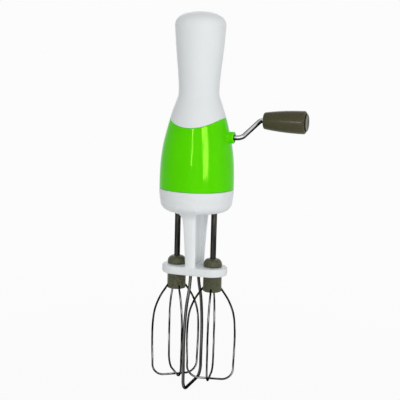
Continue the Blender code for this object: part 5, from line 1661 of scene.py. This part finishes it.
@dataclass
class Crank(SubAssembly):
    """The bent crank rod and the olive knob that turns on its pin.

    Attributes:
        axle_height: The axle's height.
        rod_radius: The rod's radius.
        start: The x of the axle's inner end.
        bend: The x at which the axle's and the arm's lines meet.
        bend_radius: That bend's radius.
        pin_start: The x at which the arm's and the pin's lines meet.
        pin_radius: That bend's radius.
        pin_offset: The pin's distance back and up from the axle.
        pin_end: The x of the pin's end.
        knob: Along the knob, (distance, radius).
        knob_x: The knob's two ends.
        knob_rounds: The edge radii of its two ends.
        knob_gap: Between the knob's hole and the pin.
        side_start: From the first end's round to the first point of the knob's side.
        socket_depth: The depth of the cap's socket.
        socket_round: The socket's edge radius.
        cap_radius: The end cap's radius.
        cap_groove: The width of the groove round the cap.
        cap_stem: The radius of the stem that holds the cap off the knob's end.
        cap_thickness: The cap's thickness.
        cap_rise: How far the cap stands out.
        cap_round: The cap's edge radius.
        cap_gap: Between the stem and the pin's end.
        cap_dish: The dish in the cap: its depth, and the shares of the radius of its slope.
    """

    axle_height: float = AXLE_HEIGHT
    rod_radius: float = 2.0 * MM
    start: float = -23.6 * MM
    bend: float = 36.9 * MM
    bend_radius: float = 5.5 * MM
    pin_start: float = 46.0 * MM
    pin_radius: float = 3.4 * MM
    pin_offset: tuple[float, float] = (24.0 * MM, 13.0 * MM)
    pin_end: float = 82.8 * MM
    knob: Array = field(default_factory=lambda: mm(
        (0.0, 6.9), (8.0, 8.0), (16.0, 8.8), (26.0, 9.35), (33.0, 9.45),
    ))
    knob_x: tuple[float, float] = (49.0 * MM, 84.0 * MM)
    knob_rounds: tuple[float, float] = (0.9 * MM, 2.0 * MM)
    knob_gap: float = 0.25 * MM
    side_start: float = 0.6 * MM
    socket_depth: float = 2.4 * MM
    socket_round: float = 0.25 * MM
    cap_radius: float = 6.9 * MM
    cap_groove: float = 0.45 * MM
    cap_stem: float = 5.2 * MM
    cap_thickness: float = 0.55 * MM
    cap_rise: float = 1.0 * MM
    cap_round: float = 0.2 * MM
    cap_gap: float = 0.3 * MM
    cap_dish: tuple[float, float, float] = (0.12 * MM, 0.70, 0.66)

    def rod(self) -> Piece:
        """Build the rod: three straight runs joined by two circular bends, all in one plane."""
        throw = math.hypot(*self.pin_offset)
        corners = np.array([
            (self.start, 0.0), (self.bend, 0.0), (self.pin_start, throw), (self.pin_end, throw),
        ])
        radii = np.array([0.0, self.bend_radius, self.pin_radius, 0.0])
        bends = rounded(corners, radii, 20).reshape(4, 21, 2)[1:3]
        legs = [
            np.linspace(corners[0], bends[0, 0], 30)[:-1], bends[0],
            np.linspace(bends[0, -1], bends[1, 0], 14)[1:-1], bends[1],
            np.linspace(bends[1, -1], corners[3], 18)[1:],
        ]
        flat = np.vstack(legs)
        lean = np.array([0.0, *self.pin_offset]) / throw
        along = np.array([1.0, 0.0, 0.0])
        route = flat[:, :1] * along + flat[:, 1:] * lean + (0, 0, self.axle_height)
        return tube("crank_arm_rod", route, np.cross(along, lean), self.rod_radius, ROD_STEPS)

    def handle(self) -> Piece:
        """Build the knob, whose side swells through the stations, with a socket for its cap."""
        left, right = self.knob_x
        small, large = self.knob_rounds
        bore = self.rod_radius + self.knob_gap
        low, high = self.knob[0, 1], self.knob[-1, 1]
        along = np.linspace(small + self.side_start, self.knob[-1, 0], 50)
        side = np.column_stack([through_stations(self.knob, along), left + along])
        mouth, floor = self.cap_radius + self.cap_groove, right - self.socket_depth
        edge = self.socket_round
        profile = np.vstack([
            [(bore, left)], arc((low - small, left + small), small, -math.pi / 2, 0.0, 7), side,
            arc((high - large, right - large), large, 0.0, math.pi / 2, 14)[1:],
            arc((mouth + edge, right - edge), edge, math.pi / 2, math.pi, 4),
            [(mouth, floor), (bore, floor)],
        ])
        return turned("knob_barrel", profile, KNOB_STEPS, Axis.X, self.pin_place(), SOFT_CREASE)

    def cap(self) -> Piece:
        """Build the knob's end cap, a thin disc with a rounded edge on a narrower stem."""
        right, foot = self.knob_x[1] + self.cap_rise, self.pin_end + self.cap_gap
        under, edge = right - self.cap_thickness, self.cap_round
        dish, brow, basin = self.cap_dish
        profile = np.vstack([
            [(0.0, foot), (self.cap_stem, foot), (self.cap_stem, under)],
            arc((self.cap_radius - edge, under + edge), edge, -math.pi / 2, 0.0, 4),
            arc((self.cap_radius - edge, right - edge), edge, 0.0, math.pi / 2, 4),
            [(brow * self.cap_radius, right), (basin * self.cap_radius, right - dish)],
            [(0.0, right - dish)],
        ])
        return turned("knob_end_disc", profile, KNOB_STEPS, Axis.X, self.pin_place())

    def pin_place(self) -> tuple[float, float, float]:
        """Return a point on the knob's axis."""
        back, up = self.pin_offset
        return (0.0, back, self.axle_height + up)

    def build(self) -> None:
        """Build the rod, the knob and its cap."""
        self.fit(self.rod(), Finish.CHROME, Body.CRANK, "crank_rod")
        self.fit(self.handle(), Finish.KNOB, Body.KNOB, "crank_knob")
        self.fit(self.cap(), Finish.KNOB, Body.KNOB, "knob_end_cap")


def dress_frame(shelf: FinishShelf) -> None:
    """Give every CAD node that still shows the finish of its material slot.

    Args:
        shelf: The finishes.
    """
    plain = {kind.slot.value: kind for kind in reversed(Finish)}
    kinds = {row["node"]: plain[row["material_slot"]] for row in frame["record"]["subparts"]}
    for name, node in sorted(frame["nodes"].items()):
        shelf.finish(node, kinds[name])
        log.info("%s: CAD node in %s", name, kinds[name].value[0])


# ---------------------------------------------------------------- studio and camera


@dataclass(frozen=True)
class SoftBox:
    """A soft rectangular light that faces the beater.

    Attributes:
        name: The light's name.
        azimuth: Degrees from the front towards +X.
        elevation: Degrees above the horizon.
        distance: From the middle of the beater.
        width: Its width.
        height: Its height.
        power: Its power in watts.
        glint: Whether it shows in gloss alone.
        only: The names of the pieces that it lights, or none where it lights them all.
    """

    name: str
    azimuth: float
    elevation: float
    distance: float
    width: float
    height: float
    power: float
    glint: bool = False
    only: tuple[str, ...] = ()

    def place(self, target: Vector) -> None:
        """Set the light up, facing the target."""
        light = bpy.data.lights.new(self.name, "AREA")
        light.shape = "RECTANGLE"
        light.size, light.size_y = self.width, self.height
        light.energy = self.power
        around, up = math.radians(self.azimuth), math.radians(self.elevation)
        away = Vector((
            math.sin(around) * math.cos(up), -math.cos(around) * math.cos(up), math.sin(up),
        ))
        lamp = bpy.data.objects.new(self.name, light)
        lamp.location = target + away * self.distance
        lamp.rotation_euler = away.to_track_quat("Z", "Y").to_euler()
        lamp.visible_camera = False
        lamp.visible_diffuse = not self.glint
        if self.only:
            lit = bpy.data.collections.new(f"{self.name}_pieces")
            for name in self.only:
                lit.objects.link(bpy.data.objects[name])
            lamp.light_linking.receiver_collection = lit
        bpy.context.scene.collection.objects.link(lamp)


@dataclass
class Studio:
    """A plain pale floor, soft light and a white background.

    Attributes:
        ambient: The light that comes from all round.
        background: What the camera and reflections see behind the beater.
        white: The colour of that background.
        target: The point that the lights face.
        floor_size: Half the floor's width.
        floor_level: The floor's height.
        paint: How pale the floor's paint is.
        paint_finish: Its roughness and its specular level.
        shadow_share: How much of the floor's own light and shadow shows near the beater.
        fade_ring: The distances between which the floor fades into the background.
        boxes: The soft lights.
    """

    ambient: float = 0.50
    background: float = 0.975
    white: tuple[float, float, float] = (0.997, 0.997, 1.0)
    target: tuple[float, float, float] = (0.0, 0.0, 0.17)
    floor_size: float = 6.0
    floor_level: float = -0.4 * MM
    paint: float = 0.90
    paint_finish: tuple[float, float] = (0.9, 0.1)
    shadow_share: float = 0.03
    fade_ring: tuple[float, float] = (0.12, 0.45)
    boxes: tuple[SoftBox, ...] = (
        SoftBox("key_box", 44.0, 12.0, 1.25, 0.60, 1.5, 4.5),
        SoftBox("front_fill", 8.0, 14.0, 1.3, 0.90, 1.1, 4.0),
        SoftBox("side_fill", 80.0, 0.0, 1.4, 0.70, 1.0, 2.5),
        SoftBox("back_fill", 208.0, 22.0, 1.4, 0.90, 1.1, 3.2),
        SoftBox("leg_fill", 76.0, 0.0, 1.3, 0.70, 0.70, 2.8, only=("leg",)),
        SoftBox("broad_glint", 45.0, 14.0, 1.25, 0.38, 0.86, 50.0, True, SLEEVE_PIECES),
        SoftBox("narrow_glint", 1.5, 17.0, 1.3, 0.05, 0.66, 10.0, True, SLEEVE_PIECES),
        SoftBox("knob_glint", -12.5, 6.7, 1.26, 0.17, 0.07, 3.4, True, ("knob_barrel",)),
    )

    def light_world(self) -> None:
        """Light the world softly, and show it white."""
        world = bpy.data.worlds.new("studio_world")
        world.use_nodes = True
        nodes = Nodes(world.node_tree)
        nodes.tree.nodes.clear()
        soft = nodes.lit("ShaderNodeBackground", (1.0, 1.0, 1.0), self.ambient)
        white = nodes.lit("ShaderNodeBackground", self.white, self.background)
        output = nodes.add("ShaderNodeOutputWorld")
        nodes.feed(output.inputs["Surface"], nodes.mixed(nodes.shown(), soft, white))
        bpy.context.scene.world = world

    def lay_floor(self) -> None:
        """Lay the floor, which fades into the white background away from the beater."""
        side = np.linspace(-self.floor_size, self.floor_size, 9)
        x, y = np.meshgrid(side, side)
        floor = skin("studio_floor", np.stack([x, y, np.full_like(x, self.floor_level)], axis=-1))
        if floor.data.polygons[0].normal.z < 0:
            floor.data.flip_normals()
        sketch = Sketch("studio_floor_paint")
        paint = sketch.shader.inputs
        paint["Base Color"].default_value = colour(self.paint, self.paint, self.paint)
        roughness, specular = self.paint_finish
        paint["Roughness"].default_value = roughness
        paint["Specular IOR Level"].default_value = specular
        white = sketch.lit("ShaderNodeEmission", self.white, self.background)
        away = sketch.add("ShaderNodeVectorMath", operation="LENGTH")
        sketch.feed(away.inputs[0], sketch.place)
        fade = sketch.ranged(
            away.outputs["Value"], 1 - self.shadow_share, 1.0, *self.fade_ring, "SMOOTHSTEP",
        )
        share = sketch.maths("MULTIPLY", sketch.shown(), fade)
        output = sketch.tree.nodes["Material Output"]
        sketch.feed(
            output.inputs["Surface"], sketch.mixed(share, sketch.shader.outputs[0], white),
        )
        floor.data.materials.append(sketch.material)

    def build(self) -> None:
        """Set up the world, the floor and the lights, once the pieces are there."""
        self.light_world()
        self.lay_floor()
        for box in self.boxes:
            box.place(Vector(self.target))
            log.info("%s: %.1f W", box.name, box.power)
        bpy.context.scene.view_settings.view_transform = "Standard"


@dataclass(frozen=True)
class PhotoCamera:
    """The camera, where the photograph was taken from.

    Attributes:
        place: Where it stands.
        right: Its right-hand direction.
        up: Its upward direction.
        lens: Its focal length in millimetres.
        sensor: Its sensor's width in millimetres.
        shift: Its sideways and upward shift, in frame widths.
        sight: The nearest and the farthest that it sees.
    """

    place: tuple[float, float, float] = (0.2582365, -0.7700602, 0.2873343)
    right: tuple[float, float, float] = (0.9465260, 0.3216704, 0.0248343)
    up: tuple[float, float, float] = (-0.0748395, 0.1440374, 0.9867382)
    lens: float = 90.0
    sensor: float = 36.0
    shift: tuple[float, float] = (0.009333, 0.006376)
    sight: tuple[float, float] = (0.01, 50.0)

    def build(self) -> None:
        """Set the camera up."""
        view = bpy.data.cameras.new("photo_camera")
        view.sensor_width, view.lens = self.sensor, self.lens
        view.shift_x, view.shift_y = self.shift
        view.clip_start, view.clip_end = self.sight
        right, up = Vector(self.right), Vector(self.up)
        turn = Matrix((right, up, right.cross(up))).transposed()
        camera = bpy.data.objects.new("photo_camera", view)
        camera.matrix_world = Matrix.Translation(self.place) @ turn.to_4x4()
        bpy.context.scene.collection.objects.link(camera)
        bpy.context.scene.camera = camera


def main() -> None:
    """Build the camera, the studio and every sub-assembly."""
    logging.basicConfig(level=logging.INFO, format="%(name)s: %(message)s")
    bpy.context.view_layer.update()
    PhotoCamera().build()
    shelf = FinishShelf()
    dress_frame(shelf)
    Grip(shelf).build()
    Sleeve(shelf).build()
    LowerHousing(shelf).build()
    RestLoop(shelf).build()
    Beater(shelf, "left", Body.LEFT_BEATER, -SHAFT_X, math.radians(35.0)).build()
    Beater(shelf, "right", Body.RIGHT_BEATER, SHAFT_X, math.radians(10.0)).build()
    Crank(shelf).build()
    Studio().build()


if __name__ == "__main__":
    main()
